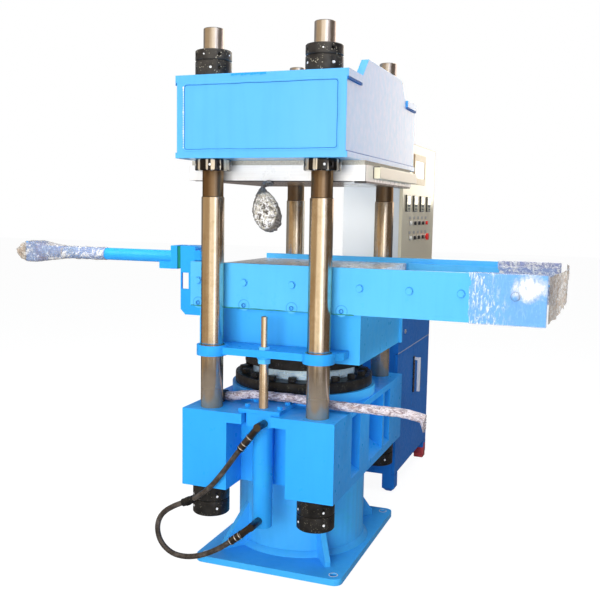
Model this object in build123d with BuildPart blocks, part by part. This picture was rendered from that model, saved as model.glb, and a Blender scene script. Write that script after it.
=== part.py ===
"""A four column rubber vulcanising press with a mould pusher and its control cabinet.

Millimetres. +X is the side where the mould comes out, +Y points to the rear and +Z up.
The origin lies on the floor, on the axis of the main ram.
"""
import math
import os

from build123d import *

os.makedirs("parts", exist_ok=True)

# General clearances
fit_gap = 0.05
seat_gap = 0.3
bolt_gap = 0.5
cut_over = 20.0

# Four columns
column_dia = 100.0
column_pitch_x = 505.0
column_pitch_y = 1010.0
column_body = 933.0
column_end = 94.0
column_tail = 8.0
column_chamfer = 3.0
thread_dia = 92.0
stub_dia = 88.0

# Base plate and anchors
base_length = 716.0
base_width = 942.0
base_thick = 30.0
base_corner = 40.0
anchor_pitch_x = 626.0
anchor_pitch_y = 848.0
anchor_hole_dia = 34.0

# Main cylinder
barrel_dia = 622.0
barrel_floor = 80.0
barrel_foot = 24.0
ram_dia = 500.0
ram_clear = 2.0
ram_foot_gap = 20.0
boss_dia = 704.0
boss_height = 46.0
gusset_thick = 26.0
gusset_height = 226.0
gusset_reach = 134.0
gusset_toe = 26.0
seal_height = 20.0
seal_wall = 11.0
seal_depth = 36.0

# Gland ring and its bolts
gland_dia = 674.0
gland_height = 51.0
gland_bolt_count = 18
gland_bolt_dia = 24.0
gland_bolt_circle = 590.0
gland_head_flats = 36.0
gland_head_height = 20.0
gland_bolt_reach = 30.0

# Lower beam
beam_length = 714.0
beam_end_margin = 83.0
beam_bottom = 409.0
beam_height = 350.0
beam_top_plate = 45.0
recess_width = 280.0
recess_back_gap = 30.0
notch_gap = 4.5
side_wall = 30.0
side_floor = 40.0
side_pocket_depth = 110.0
side_bevel = 70.0
pocket_one_start = -336.0
pocket_one_end = -203.0
pocket_two_start = -50.0
pocket_two_end = 195.0
pocket_three_start = 225.0
pocket_three_end = 336.0

# Round column nuts
top_nut_dia = 157.0
top_nut_height = 65.0
lock_nut_height = 45.0
under_nut_dia = 158.0
under_nut_height = 50.0
low_nut_dia = 166.0
low_nut_height = 68.0
nut_chamfer = 4.0
tommy_dia = 14.0
tommy_depth = 16.0
tommy_count = 4

# Crosshead
head_length = 762.0
head_end_margin = 92.5
head_bottom = 1855.0
head_floor = 25.0
head_wall_height = 292.0
head_roof = 32.0
head_lip = 7.0
head_side_wall = 35.0
head_end_wall = 25.0
head_tube_dia = 150.0
hump_base = 768.0
hump_top = 586.0
hump_rise = 84.0
roof_notch = 810.0

# Heating platens
upper_platen_length = 830.0
upper_platen_column_gap = 35.0
platen_thick = 67.0
insulation_thick = 20.0
insulation_inset = 8.0
lower_platen_length = 800.0
heater_bore_dia = 16.0
heater_bore_depth = 60.0
heater_bore_count = 6
terminal_depth = 30.0
terminal_front = -300.0
terminal_end_gap = 10.0
terminal_height = 51.0
terminal_rise = 15.0

# Ram flange and moving block
flange_dia = 580.0
flange_bottom = 905.0
flange_thick = 66.0
block_length = 784.0
block_width = 720.0
block_height = 232.0
block_lip = 15.0
block_lip_thick = 20.0
table_thick = 87.0

# Mould rails
rail_start = -392.0
rail_end = 1168.0
rail_height = 200.0
rail_thick = 20.0
rail_column_gap = 5.0
ledge_width = 30.0
ledge_height = 87.0
ledge_end_gap = 20.0
rail_bolt_dia = 16.0
rail_head_flats = 26.0
rail_head_height = 11.0
rail_bolt_rise = 115.0
rail_bolt_reach = 18.0
rail_bolt_start = -352.0
rail_bolt_pitch = 228.0
rail_bolt_short_pitch = 213.0
rail_bolt_last = 1049.0
disc_dia = 49.0
disc_rise = 14.0
disc_height = 6.0
socket_flats = 14.0

# Yokes round the columns
yoke_ring_dia = 138.0
yoke_ring_height = 46.0
yoke_bottom = 995.0
yoke_bar_height = 32.0
yoke_bar_drop = 7.0
yoke_half_length = 342.0
yoke_front_reach = 25.0
yoke_boss_dia = 62.0
yoke_boss_drop = 8.0
bush_wall = 8.0

# Lift cylinders
lift_tube_dia = 90.0
lift_bore_dia = 70.0
lift_tube_bottom = 240.0
lift_cap = 22.0
lift_head_length = 128.0
lift_head_width = 108.0
lift_head_height = 57.0
lift_head_corner = 14.0
lift_rod_dia = 41.0
lift_stub_dia = 30.0
lift_rod_top = 1182.0
lift_piston_height = 40.0
lift_plate_length = 194.0
lift_plate_front = 52.0
lift_plate_gap = 5.0
lift_plate_thick = 17.0
lift_bolt_dia = 14.0
lift_bolt_flats = 22.0
lift_bolt_head = 12.0
lift_bolt_pitch_x = 154.0
lift_bolt_front = 2.0
lift_bolt_rear = 95.0
lift_bolt_reach = 30.0
top_nut_flats = 46.0
top_nut_thick = 14.0
low_nut_flats = 52.0
low_nut_thick = 20.0

# Pusher cylinder and its bracket
pusher_rise = 15.0
bracket_length = 268.0
bracket_wall = 84.0
bracket_rise = 60.0
bracket_seat_drop = 47.0
bracket_foot_rise = 129.0
bracket_width = 118.0
bracket_chamfer = 27.0
bracket_round = 14.0
bracket_slope = 20.0
window_length = 40.0
window_height = 83.0
window_rise = 132.0
bracket_cheek = 14.0
pocket_margin = 8.0
window_inset = 6.0
spacer_thick = 20.0
spacer_inset = 4.0
pusher_flange = 119.0
pusher_flange_thick = 37.0
pusher_tube_dia = 64.0
pusher_bore_dia = 50.0
pusher_tube_length = 847.5
pusher_cap = 107.0
pusher_cap_thick = 64.0
pusher_rod_dia = 25.0
pusher_piston_thick = 34.0
pusher_piston_inset = 18.0
pusher_head_length = 46.0
pusher_head_width = 160.0
pusher_head_height = 50.0
pusher_head_lift = 4.0
pusher_head_corner = 8.0
pusher_port_length = 89.0
pusher_port_width = 44.0
pusher_port_height = 31.0

# Protective film
film_thick = 3.0
rail_film_start = 868.0
pusher_film_start = -1140.0
film_tail = 84.0
film_tail_tip = 30.0
film_sheet_bow = 42.0
film_sheet_drop = 12.0

# Hydraulic hose of the front lift cylinder, with its end fittings
hose_dia = 24.0
ferrule_dia = 31.0
ferrule_length = 62.0
elbow_dia = 34.0

# Film wrapped line on the lower beam, and its clip
wrapped_dia = 43.0
clip_thick = 6.0
clip_length = 24.0
clip_foot = 70.0
clip_gap = 1.0

# Wrapped cable bundle under the upper platen
bundle_width = 136.0
bundle_height = 182.0
bundle_thick = 56.0
bundle_x = 2.0
bundle_y = -505.0
bundle_z = 1641.0
neck_dia = 26.0
neck_x = -17.0
neck_rise = 55.0

# Control cabinet
cabinet_front = 277.0
cabinet_depth = 350.0
cabinet_near = 812.0
cabinet_width = 860.0
cabinet_height = 2040.0
cabinet_wall = 20.0
cabinet_leg_height = 105.0
cabinet_leg = 74.0
cabinet_leg_chamfer = 22.0
door_thick = 20.0
door_gap = 2.0
lower_door_top = 825.0
two_tone = 1060.0
cabinet_edge_round = 12.0
seam_share = 0.456
screen_length = 300.0
screen_height = 177.0
screen_centre = 404.0
screen_drop = 144.0
screen_frame = 6.0
screen_cut_inset = 12.0
screen_glass_length = 254.0
screen_glass_height = 101.0
screen_glass_drop = 3.0
meter_size = 96.0
meter_cut = 90.0
meter_near_margin = 118.0
meter_far_margin = 182.0
meter_drop = 348.0
meter_bezel = 8.0
meter_depth = 60.0
meter_count = 4
button_dia = 23.0
button_stem_dia = 16.0
button_proud = 12.0
button_travel = 4.0
button_near_margin = 190.0
button_far_margin = 238.0
button_count = 5
button_high_drop = 464.0
button_low_drop = 551.0
collar_dia = 29.0
collar_thick = 5.0
collar_lip = 1.0
mushroom_dia = 42.0
mushroom_thick = 14.0
legend_length = 44.0
legend_height = 16.0
legend_thick = 2.0
legend_rise = 32.0
handle_length = 228.0
handle_width = 26.0
handle_base_thick = 8.0
handle_drop = 77.0
handle_edge = 20.0
handle_lever_width = 20.0
handle_lever_thick = 18.0
handle_lever_inset = 6.0
handle_pivot_dia = 12.0
handle_pivot_drop = 16.0
handle_proud = 45.0
lock_dia = 26.0
lock_thick = 8.0
lock_s = 145.0
lock_rise = 114.0
lock_stem_dia = 14.0

# Levels and places that follow from the sizes above
lift_offset = column_pitch_y / 2
beam_width = column_pitch_y + 2 * beam_end_margin
recess_depth = beam_width / 2 - lift_offset + lift_tube_dia / 2 + recess_back_gap
head_width = column_pitch_y + 2 * head_end_margin
upper_platen_width = column_pitch_y - column_dia - 2 * upper_platen_column_gap
terminal_rear = upper_platen_width / 2 - terminal_end_gap
beam_top = beam_bottom + beam_height
column_bottom = beam_bottom - 2 * low_nut_height - column_tail
head_roof_top = head_bottom + head_floor + head_wall_height + head_roof
thread_end = head_roof_top + top_nut_height + lock_nut_height
column_top = thread_end + column_end
boss_top = beam_top + boss_height
gland_top = boss_top + gland_height
block_bottom = flange_bottom + flange_thick
block_top = block_bottom + block_height
table_top = block_top + table_thick
lower_platen_bottom = table_top + insulation_thick
lower_platen_top = lower_platen_bottom + platen_thick
upper_insulation_bottom = head_bottom - insulation_thick
upper_platen_bottom = upper_insulation_bottom - platen_thick
rail_pitch = column_pitch_y - column_dia - 2 * rail_column_gap - rail_thick
rail_inner = rail_pitch / 2 - rail_thick / 2
rail_outer = rail_pitch / 2 + rail_thick / 2
lower_platen_width = 2 * rail_inner
barrel_bore_dia = ram_dia + 2 * ram_clear
ram_bottom = base_thick + barrel_floor + ram_foot_gap
cabinet_back = cabinet_front - cabinet_depth
door_back = cabinet_front - door_thick
seam_s = seam_share * cabinet_width
yoke_bar_bottom = yoke_bottom + yoke_bar_drop
yoke_bar_top = yoke_bar_bottom + yoke_bar_height
lift_plate_rear = lift_offset - boss_dia / 2 - lift_plate_gap
pusher_height = lower_platen_top + pusher_rise
bracket_top = pusher_height + bracket_rise
bracket_seat = pusher_height - bracket_seat_drop
bracket_bottom = block_bottom + bracket_foot_rise
window_bottom = bracket_bottom + window_rise
pusher_bore_wall = (pusher_tube_dia - pusher_bore_dia) / 2
pusher_bracket_left = -block_length / 2 - bracket_length
pusher_flange_right = pusher_bracket_left - seat_gap - spacer_thick
pusher_tube_right = pusher_flange_right - pusher_flange_thick
pusher_tube_left = pusher_tube_right - pusher_tube_length
pusher_cap_left = pusher_tube_left - pusher_cap_thick
screen_z = cabinet_height - screen_drop
meter_z = cabinet_height - meter_drop
button_row_high = cabinet_height - button_high_drop
button_row_low = cabinet_height - button_low_drop
handle_top = lower_door_top - handle_drop
lock_z = lower_door_top + lock_rise
meter_pitch = (cabinet_width - meter_near_margin - meter_far_margin) / (meter_count - 1)
button_pitch = (cabinet_width - button_near_margin - button_far_margin) / (button_count - 1)

# The route of the hydraulic hose, from the upper fitting to the lower one (x, z)
hose_plane = -620.0
hose_route = [
    (-11.0, 672.0),
    (-67.0, 601.0),
    (-128.0, 514.0),
    (-198.0, 424.0),
    (-282.0, 356.0),
    (-368.0, 322.0),
    (-444.0, 272.0),
    (-471.0, 205.0),
    (-453.0, 134.0),
    (-396.0, 89.0),
    (-324.0, 83.0),
    (-248.0, 102.0),
    (-176.0, 138.0),
    (-108.0, 184.0),
    (-46.0, 236.0),
]

# The route of the wrapped line on the lower beam (x, y, z)
wrapped_route = [
    (-262.0, -381.0, 780.8),
    (-205.0, -380.0, 781.1),
    (-128.0, -378.5, 801.0),
    (0.0, -377.0, 799.5),
    (125.0, -378.5, 801.0),
    (215.0, -380.0, 790.5),
    (300.0, -381.5, 788.0),
    (400.0, -383.0, 787.5),
    (495.0, -386.0, 788.0),
    (580.0, -388.0, 788.5),
    (640.0, -388.5, 784.0),
    (694.0, -389.0, 770.0),
]


def save(piece, name):
    """Label one finished sub-part and write it under its own name."""
    piece.part.label = name
    export_step(piece.part, f"parts/{name}.step")


def bend_radii(points):
    """The arc at each corner of a route is as large as its two runs allow."""
    radii = []
    for before, corner, after in zip(points, points[1:], points[2:]):
        run_in = Vector(corner) - Vector(before)
        run_out = Vector(after) - Vector(corner)
        half_turn = math.radians(run_in.get_angle(run_out)) / 2
        shorter = min(run_in.length, run_out.length)
        radii.append(0.45 * shorter / math.tan(half_turn))
    return radii


def cord_tube(points, diameter, name):
    """One tube along a route of straight runs joined by tangent arcs."""
    radii = bend_radii(points)
    with BuildPart() as tube:
        with BuildLine() as route:
            FilletPolyline(*points, radius=radii)
        start = Plane(origin=route.line @ 0, z_dir=route.line % 0)
        with BuildSketch(start):
            Circle(diameter / 2)
        sweep()
    save(tube, name)
    section = math.pi * diameter ** 2 / 4
    length = sum(edge.length for edge in route.line.edges())
    print(name, "radii", [round(radius) for radius in radii])
    print(name, "length", round(length), "volume over section times length",
          round(tube.part.volume / (section * length), 4))


def columns():
    """Four tie columns: a shouldered body, a threaded neck at each end and a plain stub."""
    body_top = beam_top + column_body
    outline = [
        (0, column_bottom),
        (thread_dia / 2 - column_chamfer, column_bottom),
        (thread_dia / 2, column_bottom + column_chamfer),
        (thread_dia / 2, beam_top),
        (column_dia / 2, beam_top),
        (column_dia / 2, body_top),
        (thread_dia / 2, body_top + column_chamfer),
        (thread_dia / 2, thread_end),
        (stub_dia / 2, thread_end),
        (stub_dia / 2, column_top - column_chamfer),
        (stub_dia / 2 - column_chamfer, column_top),
        (0, column_top),
    ]
    with BuildPart() as column:
        with BuildSketch(Plane.XZ):
            with BuildLine():
                Polyline(*outline, close=True)
            make_face()
        revolve(axis=Axis.Z)
    with BuildPart() as all_columns:
        with GridLocations(column_pitch_x, column_pitch_y, 2, 2):
            add(column.part)
    save(all_columns, "columns")


def round_nuts(name, outside_dia, bottoms_and_heights):
    """Round nuts with tommy holes, one stack on each column."""
    with BuildPart() as nuts:
        for bottom, height in bottoms_and_heights:
            with BuildSketch(Plane.XY.offset(bottom)):
                with GridLocations(column_pitch_x, column_pitch_y, 2, 2):
                    Circle(outside_dia / 2)
            extrude(amount=height)
        chamfer(nuts.edges().filter_by(GeomType.CIRCLE), nut_chamfer)
        low = bottoms_and_heights[0][0]
        tall = bottoms_and_heights[-1][0] + bottoms_and_heights[-1][1] - low
        with BuildSketch(Plane.XY.offset(low - cut_over)):
            with GridLocations(column_pitch_x, column_pitch_y, 2, 2):
                Circle(thread_dia / 2 + fit_gap)
        extrude(amount=tall + 2 * cut_over, mode=Mode.SUBTRACT)
        for bottom, height in bottoms_and_heights:
            with Locations((0, 0, bottom + height / 2)):
                with GridLocations(column_pitch_x, column_pitch_y, 2, 2):
                    with PolarLocations(outside_dia / 2, tommy_count, 360 / tommy_count / 2):
                        Cylinder(tommy_dia / 2, 2 * tommy_depth, rotation=(0, 90, 0), mode=Mode.SUBTRACT)
    save(nuts, name)


def cylinder_barrel():
    """The main cylinder: floor plate, thick barrel with a round boss and four foot gussets."""
    with BuildPart() as barrel:
        with BuildSketch(Plane.XY.offset(base_thick)):
            Circle(barrel_dia / 2)
        extrude(amount=boss_top - base_thick)
        with BuildSketch(Plane.XY.offset(base_thick)):
            Circle(barrel_dia / 2 + barrel_foot)
        extrude(amount=barrel_foot)
        chamfer(barrel.edges().filter_by(GeomType.CIRCLE).group_by(Axis.Z)[1].sort_by(SortBy.RADIUS)[-1],
                barrel_foot - column_chamfer)
        with BuildSketch(Plane.XY.offset(beam_top)):
            Circle(boss_dia / 2)
        extrude(amount=boss_height)
        toe = barrel_dia / 2 + gusset_reach
        inner = barrel_dia / 2 - gusset_thick / 2
        corner_angle = math.degrees(math.atan2(anchor_pitch_y, anchor_pitch_x))
        for turn in (corner_angle, 180 - corner_angle, 180 + corner_angle, -corner_angle):
            with BuildSketch(Plane.XZ.rotated((0, 0, turn))):
                with BuildLine():
                    Polyline(
                        (inner, base_thick),
                        (toe, base_thick),
                        (toe, base_thick + gusset_toe),
                        (inner, base_thick + gusset_height),
                        close=True,
                    )
                make_face()
            extrude(amount=gusset_thick / 2, both=True)
        with BuildSketch(Plane.XY.offset(base_thick + barrel_floor)):
            Circle(barrel_bore_dia / 2)
        extrude(amount=boss_top - base_thick, mode=Mode.SUBTRACT)
        with BuildSketch(Plane.XY.offset(boss_top - seal_depth)):
            Circle(ram_dia / 2 + seat_gap + seal_wall)
        extrude(amount=seal_height, mode=Mode.SUBTRACT)
        with BuildSketch(Plane.XY.offset(boss_top - gland_bolt_reach)):
            with PolarLocations(gland_bolt_circle / 2, gland_bolt_count):
                Circle(gland_bolt_dia / 2 + bolt_gap)
        extrude(amount=gland_bolt_reach + cut_over, mode=Mode.SUBTRACT)
        with BuildSketch():
            RectangleRounded(base_length, base_width, base_corner)
            with GridLocations(anchor_pitch_x, anchor_pitch_y, 2, 2):
                Circle(anchor_hole_dia / 2, mode=Mode.SUBTRACT)
        extrude(amount=base_thick)
    save(barrel, "cylinder_barrel")


def ram_seal():
    """The ring seal held in a groove of the barrel mouth."""
    inner = ram_dia / 2 + seat_gap
    with BuildPart() as seal:
        with BuildSketch(Plane.XY.offset(boss_top - seal_depth)):
            Circle(inner + seal_wall)
            Circle(inner, mode=Mode.SUBTRACT)
        extrude(amount=seal_height)
    save(seal, "ram_seal")


def gland_ring():
    """The bolted ring that keeps the seal in the barrel."""
    with BuildPart() as ring:
        with BuildSketch(Plane.XY.offset(boss_top)):
            Circle(gland_dia / 2)
            Circle(ram_dia / 2 + 2 * seat_gap, mode=Mode.SUBTRACT)
            with PolarLocations(gland_bolt_circle / 2, gland_bolt_count):
                Circle(gland_bolt_dia / 2 + bolt_gap, mode=Mode.SUBTRACT)
        extrude(amount=gland_height)
        chamfer(ring.edges().filter_by(GeomType.CIRCLE).group_by(Axis.Z)[-1].sort_by(SortBy.RADIUS)[-1],
                column_chamfer)
    save(ring, "gland_ring")


def gland_bolts():
    """Hexagon bolts round the gland ring."""
    with BuildPart() as bolts:
        with BuildSketch(Plane.XY.offset(gland_top)):
            with PolarLocations(gland_bolt_circle / 2, gland_bolt_count):
                RegularPolygon(gland_head_flats / 2, 6, major_radius=False)
        extrude(amount=gland_head_height)
        with BuildSketch(Plane.XY.offset(boss_top - gland_bolt_reach)):
            with PolarLocations(gland_bolt_circle / 2, gland_bolt_count):
                Circle(gland_bolt_dia / 2)
        extrude(amount=gland_bolt_reach + gland_height)
    save(bolts, "gland_bolts")


def lower_beam():
    """The lower beam: four column lugs, a recess for each lift cylinder and open side pockets."""
    notch_width = lift_head_length + 2 * notch_gap
    with BuildPart() as beam:
        with BuildSketch(Plane.XY.offset(beam_bottom)):
            Rectangle(beam_length, beam_width)
        extrude(amount=beam_height)
        for side in (1, -1):
            face_y = side * (beam_width / 2 - recess_depth / 2)
            with BuildSketch(Plane.XY.offset(beam_bottom)):
                with Locations((0, face_y)):
                    Rectangle(recess_width, recess_depth)
            extrude(amount=beam_height - beam_top_plate, mode=Mode.SUBTRACT)
            with BuildSketch(Plane.XY.offset(beam_top - beam_top_plate)):
                with Locations((0, face_y)):
                    Rectangle(notch_width, recess_depth)
            extrude(amount=beam_top_plate, mode=Mode.SUBTRACT)
            pockets = (
                (pocket_one_start, pocket_one_end),
                (pocket_two_start, pocket_two_end),
                (pocket_three_start, pocket_three_end),
            )
            outer = side * beam_length / 2
            inner = side * (beam_length / 2 - side_pocket_depth)
            for start, end in pockets:
                with BuildSketch(Plane.XZ.offset(-start)):
                    with BuildLine():
                        Polyline(
                            (inner, beam_top - side_wall),
                            (outer, beam_top - side_wall),
                            (outer, beam_bottom + side_floor),
                            (inner, beam_bottom + side_floor + side_bevel),
                            close=True,
                        )
                    make_face()
                extrude(amount=start - end, mode=Mode.SUBTRACT)
        with BuildSketch(Plane.XY.offset(beam_bottom - cut_over)):
            Circle(barrel_dia / 2 + seat_gap)
            with GridLocations(column_pitch_x, column_pitch_y, 2, 2):
                Circle(thread_dia / 2 + bolt_gap)
        extrude(amount=beam_height + 2 * cut_over, mode=Mode.SUBTRACT)
        with BuildSketch(Plane.XY.offset(beam_top - lift_bolt_reach)):
            with Locations(*lift_bolt_places()):
                Circle(lift_bolt_dia / 2 + bolt_gap)
        extrude(amount=lift_bolt_reach + cut_over, mode=Mode.SUBTRACT)
    save(beam, "lower_beam")


def lift_bolt_places():
    """Centres of the four bolts that hold each lift cylinder plate."""
    places = []
    for side in (-1, 1):
        for across in (-lift_bolt_pitch_x / 2, lift_bolt_pitch_x / 2):
            places.append((across, side * (lift_offset - lift_bolt_front)))
            places.append((across, side * (lift_offset - lift_bolt_rear)))
    return places


def crosshead():
    """The upper beam: a welded box whose side plates rise in sloped humps between the roof ends."""
    roof_bottom = head_roof_top - head_roof
    wall_bottom = head_bottom + head_floor
    inner_length = head_length - 2 * head_side_wall
    hump_z = head_roof_top + hump_rise
    side_outline = [
        (-head_width / 2, wall_bottom),
        (head_width / 2, wall_bottom),
        (head_width / 2, roof_bottom),
        (hump_base / 2, roof_bottom),
        (hump_base / 2, head_roof_top),
        (hump_top / 2, hump_z),
        (-hump_top / 2, hump_z),
        (-hump_base / 2, head_roof_top),
        (-hump_base / 2, roof_bottom),
        (-head_width / 2, roof_bottom),
    ]
    with BuildPart() as head:
        with BuildSketch(Plane.XY.offset(head_bottom)):
            Rectangle(head_length + 2 * head_lip, head_width)
        extrude(amount=head_floor)
        with BuildSketch(Plane.XY.offset(roof_bottom)):
            Rectangle(head_length + 2 * head_lip, head_width)
            with GridLocations(head_length, 0, 2, 1):
                Rectangle(2 * (head_side_wall - head_lip), roof_notch, mode=Mode.SUBTRACT)
        extrude(amount=head_roof)
        with BuildSketch(Plane.XY.offset(wall_bottom)):
            with GridLocations(0, head_width - head_end_wall, 1, 2):
                Rectangle(inner_length, head_end_wall)
        extrude(amount=head_wall_height)
        for inner in (head_length / 2 - head_side_wall, -head_length / 2):
            with BuildSketch(Plane.YZ.offset(inner)):
                with BuildLine():
                    Polyline(*side_outline, close=True)
                make_face()
            extrude(amount=head_side_wall)
        with BuildSketch(Plane.XY.offset(wall_bottom)):
            with GridLocations(column_pitch_x, column_pitch_y, 2, 2):
                Circle(head_tube_dia / 2)
        extrude(amount=head_wall_height)
        with BuildSketch(Plane.XY.offset(head_bottom - cut_over)):
            with GridLocations(column_pitch_x, column_pitch_y, 2, 2):
                Circle(thread_dia / 2 + bolt_gap)
        extrude(amount=head_roof_top - head_bottom + 2 * cut_over, mode=Mode.SUBTRACT)
    save(head, "crosshead")


def flat_plate(name, length, width, bottom, thickness, edge_round):
    """One flat plate centred on the press axis."""
    with BuildPart() as plate:
        with BuildSketch(Plane.XY.offset(bottom)):
            RectangleRounded(length, width, edge_round)
        extrude(amount=thickness)
    save(plate, name)


def heated_platen(name, length, width, bottom):
    """A heating platen with its row of heater bores in the left end."""
    with BuildPart() as platen:
        with BuildSketch(Plane.XY.offset(bottom)):
            RectangleRounded(length, width, column_chamfer)
        extrude(amount=platen_thick)
        pitch = width / (heater_bore_count + 1)
        with BuildSketch(Plane.YZ.offset(-length / 2)):
            with Locations((0, bottom + platen_thick / 2)):
                with GridLocations(pitch, 0, heater_bore_count, 1):
                    Circle(heater_bore_dia / 2)
        extrude(amount=heater_bore_depth, mode=Mode.SUBTRACT)
    save(platen, name)


def terminal_cover():
    """The shallow cover over the heater ends on the right side of the upper platen."""
    with BuildPart() as cover:
        with BuildSketch(Plane.YZ.offset(upper_platen_length / 2)):
            with Locations(((terminal_front + terminal_rear) / 2,
                            upper_platen_bottom + terminal_rise + terminal_height / 2)):
                Rectangle(terminal_rear - terminal_front, terminal_height)
        extrude(amount=terminal_depth)
        fillet(cover.faces().sort_by(Axis.X)[-1].edges(), column_chamfer)
    save(cover, "terminal_cover")


def lift_cylinders():
    """Two lift cylinders, front and rear: closed tube, square head and a bolted plate on the beam."""
    head_bottom_z = beam_top - lift_head_height
    with BuildPart() as tubes:
        for side in (-1, 1):
            with BuildSketch(Plane.XY.offset(lift_tube_bottom)):
                with Locations((0, side * lift_offset)):
                    Circle(lift_tube_dia / 2)
            extrude(amount=beam_top - lift_tube_bottom)
            with BuildSketch(Plane.XY.offset(head_bottom_z)):
                with Locations((0, side * lift_offset)):
                    RectangleRounded(lift_head_length, lift_head_width, lift_head_corner)
            extrude(amount=lift_head_height)
            with BuildSketch(Plane.XY.offset(lift_tube_bottom + lift_cap)):
                with Locations((0, side * lift_offset)):
                    Circle(lift_bore_dia / 2)
            extrude(amount=head_bottom_z - lift_tube_bottom - lift_cap, mode=Mode.SUBTRACT)
            middle = side * (lift_offset + (lift_plate_front - lift_plate_rear) / 2)
            with BuildSketch(Plane.XY.offset(beam_top)):
                with Locations((0, middle)):
                    Rectangle(lift_plate_length, lift_plate_front + lift_plate_rear)
                with Locations(*lift_bolt_places()):
                    Circle(lift_bolt_dia / 2 + bolt_gap, mode=Mode.SUBTRACT)
            extrude(amount=lift_plate_thick)
            with BuildSketch(Plane.XY.offset(head_bottom_z - cut_over)):
                with Locations((0, side * lift_offset)):
                    Circle(lift_rod_dia / 2 + fit_gap)
            extrude(amount=beam_top + lift_plate_thick - head_bottom_z + 2 * cut_over,
                    mode=Mode.SUBTRACT)
    save(tubes, "lift_cylinders")


def lift_bolts():
    """The bolts of the lift cylinder plates."""
    with BuildPart() as bolts:
        with BuildSketch(Plane.XY.offset(beam_top - lift_bolt_reach)):
            with Locations(*lift_bolt_places()):
                Circle(lift_bolt_dia / 2)
        extrude(amount=lift_bolt_reach + lift_plate_thick)
        with BuildSketch(Plane.XY.offset(beam_top + lift_plate_thick)):
            with Locations(*lift_bolt_places()):
                RegularPolygon(lift_bolt_flats / 2, 6, major_radius=False)
        extrude(amount=lift_bolt_head)
    save(bolts, "lift_bolts")


def lift_rods():
    """The lift rods, each with its piston below and a slimmer stub through the yoke."""
    piston_bottom = lift_tube_bottom + lift_cap + seat_gap
    outline = [
        (0, piston_bottom),
        (lift_bore_dia / 2 - fit_gap, piston_bottom),
        (lift_bore_dia / 2 - fit_gap, piston_bottom + lift_piston_height),
        (lift_rod_dia / 2, piston_bottom + lift_piston_height),
        (lift_rod_dia / 2, yoke_bar_bottom - yoke_boss_drop - low_nut_thick),
        (lift_stub_dia / 2, yoke_bar_bottom - yoke_boss_drop - low_nut_thick),
        (lift_stub_dia / 2, lift_rod_top - column_chamfer),
        (lift_stub_dia / 2 - column_chamfer, lift_rod_top),
        (0, lift_rod_top),
    ]
    with BuildPart() as rod:
        with BuildSketch(Plane.XZ):
            with BuildLine():
                Polyline(*outline, close=True)
            make_face()
        revolve(axis=Axis.Z)
    with BuildPart() as rods:
        with GridLocations(0, 2 * lift_offset, 1, 2):
            add(rod.part)
    save(rods, "lift_rods")


def lift_rod_nuts():
    """A thick nut under each yoke and a thin one on top of it."""
    low = yoke_bar_bottom - yoke_boss_drop - low_nut_thick
    with BuildPart() as nuts:
        with BuildSketch(Plane.XY.offset(low)):
            with GridLocations(0, 2 * lift_offset, 1, 2):
                RegularPolygon(low_nut_flats / 2, 6, major_radius=False)
                Circle(lift_stub_dia / 2 + fit_gap, mode=Mode.SUBTRACT)
        extrude(amount=low_nut_thick)
        with BuildSketch(Plane.XY.offset(yoke_bar_top)):
            with GridLocations(0, 2 * lift_offset, 1, 2):
                RegularPolygon(top_nut_flats / 2, 6, major_radius=False)
                Circle(lift_stub_dia / 2 + fit_gap, mode=Mode.SUBTRACT)
        extrude(amount=top_nut_thick)
    save(nuts, "lift_rod_nuts")


def yokes():
    """Front and rear guide yokes: a ring round each column and a plate that meets the moving block."""
    bar_front = lift_offset + yoke_front_reach
    block_face = block_width / 2
    half_pitch = column_pitch_x / 2
    ear = half_pitch + yoke_ring_dia / 3
    with BuildPart() as guides:
        for side in (-1, 1):
            with BuildSketch(Plane.XY.offset(yoke_bar_bottom)):
                with BuildLine():
                    Polyline(
                        (-yoke_half_length, side * block_face),
                        (yoke_half_length, side * block_face),
                        (yoke_half_length, side * (block_face + yoke_ring_dia / 2)),
                        (ear, side * lift_offset),
                        (half_pitch, side * bar_front),
                        (-half_pitch, side * bar_front),
                        (-ear, side * lift_offset),
                        (-yoke_half_length, side * (block_face + yoke_ring_dia / 2)),
                        close=True,
                    )
                make_face()
            extrude(amount=yoke_bar_height)
        with BuildSketch(Plane.XY.offset(yoke_bottom)):
            with GridLocations(column_pitch_x, column_pitch_y, 2, 2):
                Circle(yoke_ring_dia / 2)
        extrude(amount=yoke_ring_height)
        with BuildSketch(Plane.XY.offset(yoke_bar_bottom - yoke_boss_drop)):
            with GridLocations(0, 2 * lift_offset, 1, 2):
                Circle(yoke_boss_dia / 2)
        extrude(amount=yoke_boss_drop)
        with BuildSketch(Plane.XY.offset(yoke_bottom - cut_over)):
            with GridLocations(column_pitch_x, column_pitch_y, 2, 2):
                Circle(column_dia / 2 + fit_gap + bush_wall)
            with GridLocations(0, 2 * lift_offset, 1, 2):
                Circle(lift_stub_dia / 2 + fit_gap)
        extrude(amount=yoke_ring_height + 2 * cut_over, mode=Mode.SUBTRACT)
    save(guides, "yokes")


def yoke_bushes():
    """The bronze bushes that slide on the columns."""
    with BuildPart() as bushes:
        with BuildSketch(Plane.XY.offset(yoke_bottom)):
            with GridLocations(column_pitch_x, column_pitch_y, 2, 2):
                Circle(column_dia / 2 + fit_gap + bush_wall)
                Circle(column_dia / 2 + fit_gap, mode=Mode.SUBTRACT)
        extrude(amount=yoke_ring_height)
    save(bushes, "yoke_bushes")


def ram():
    """The main ram."""
    with BuildPart() as shaft:
        with BuildSketch(Plane.XY.offset(ram_bottom)):
            Circle(ram_dia / 2)
        extrude(amount=flange_bottom - ram_bottom)
        chamfer(shaft.edges().group_by(Axis.Z)[0], column_chamfer)
    save(shaft, "ram")


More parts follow.
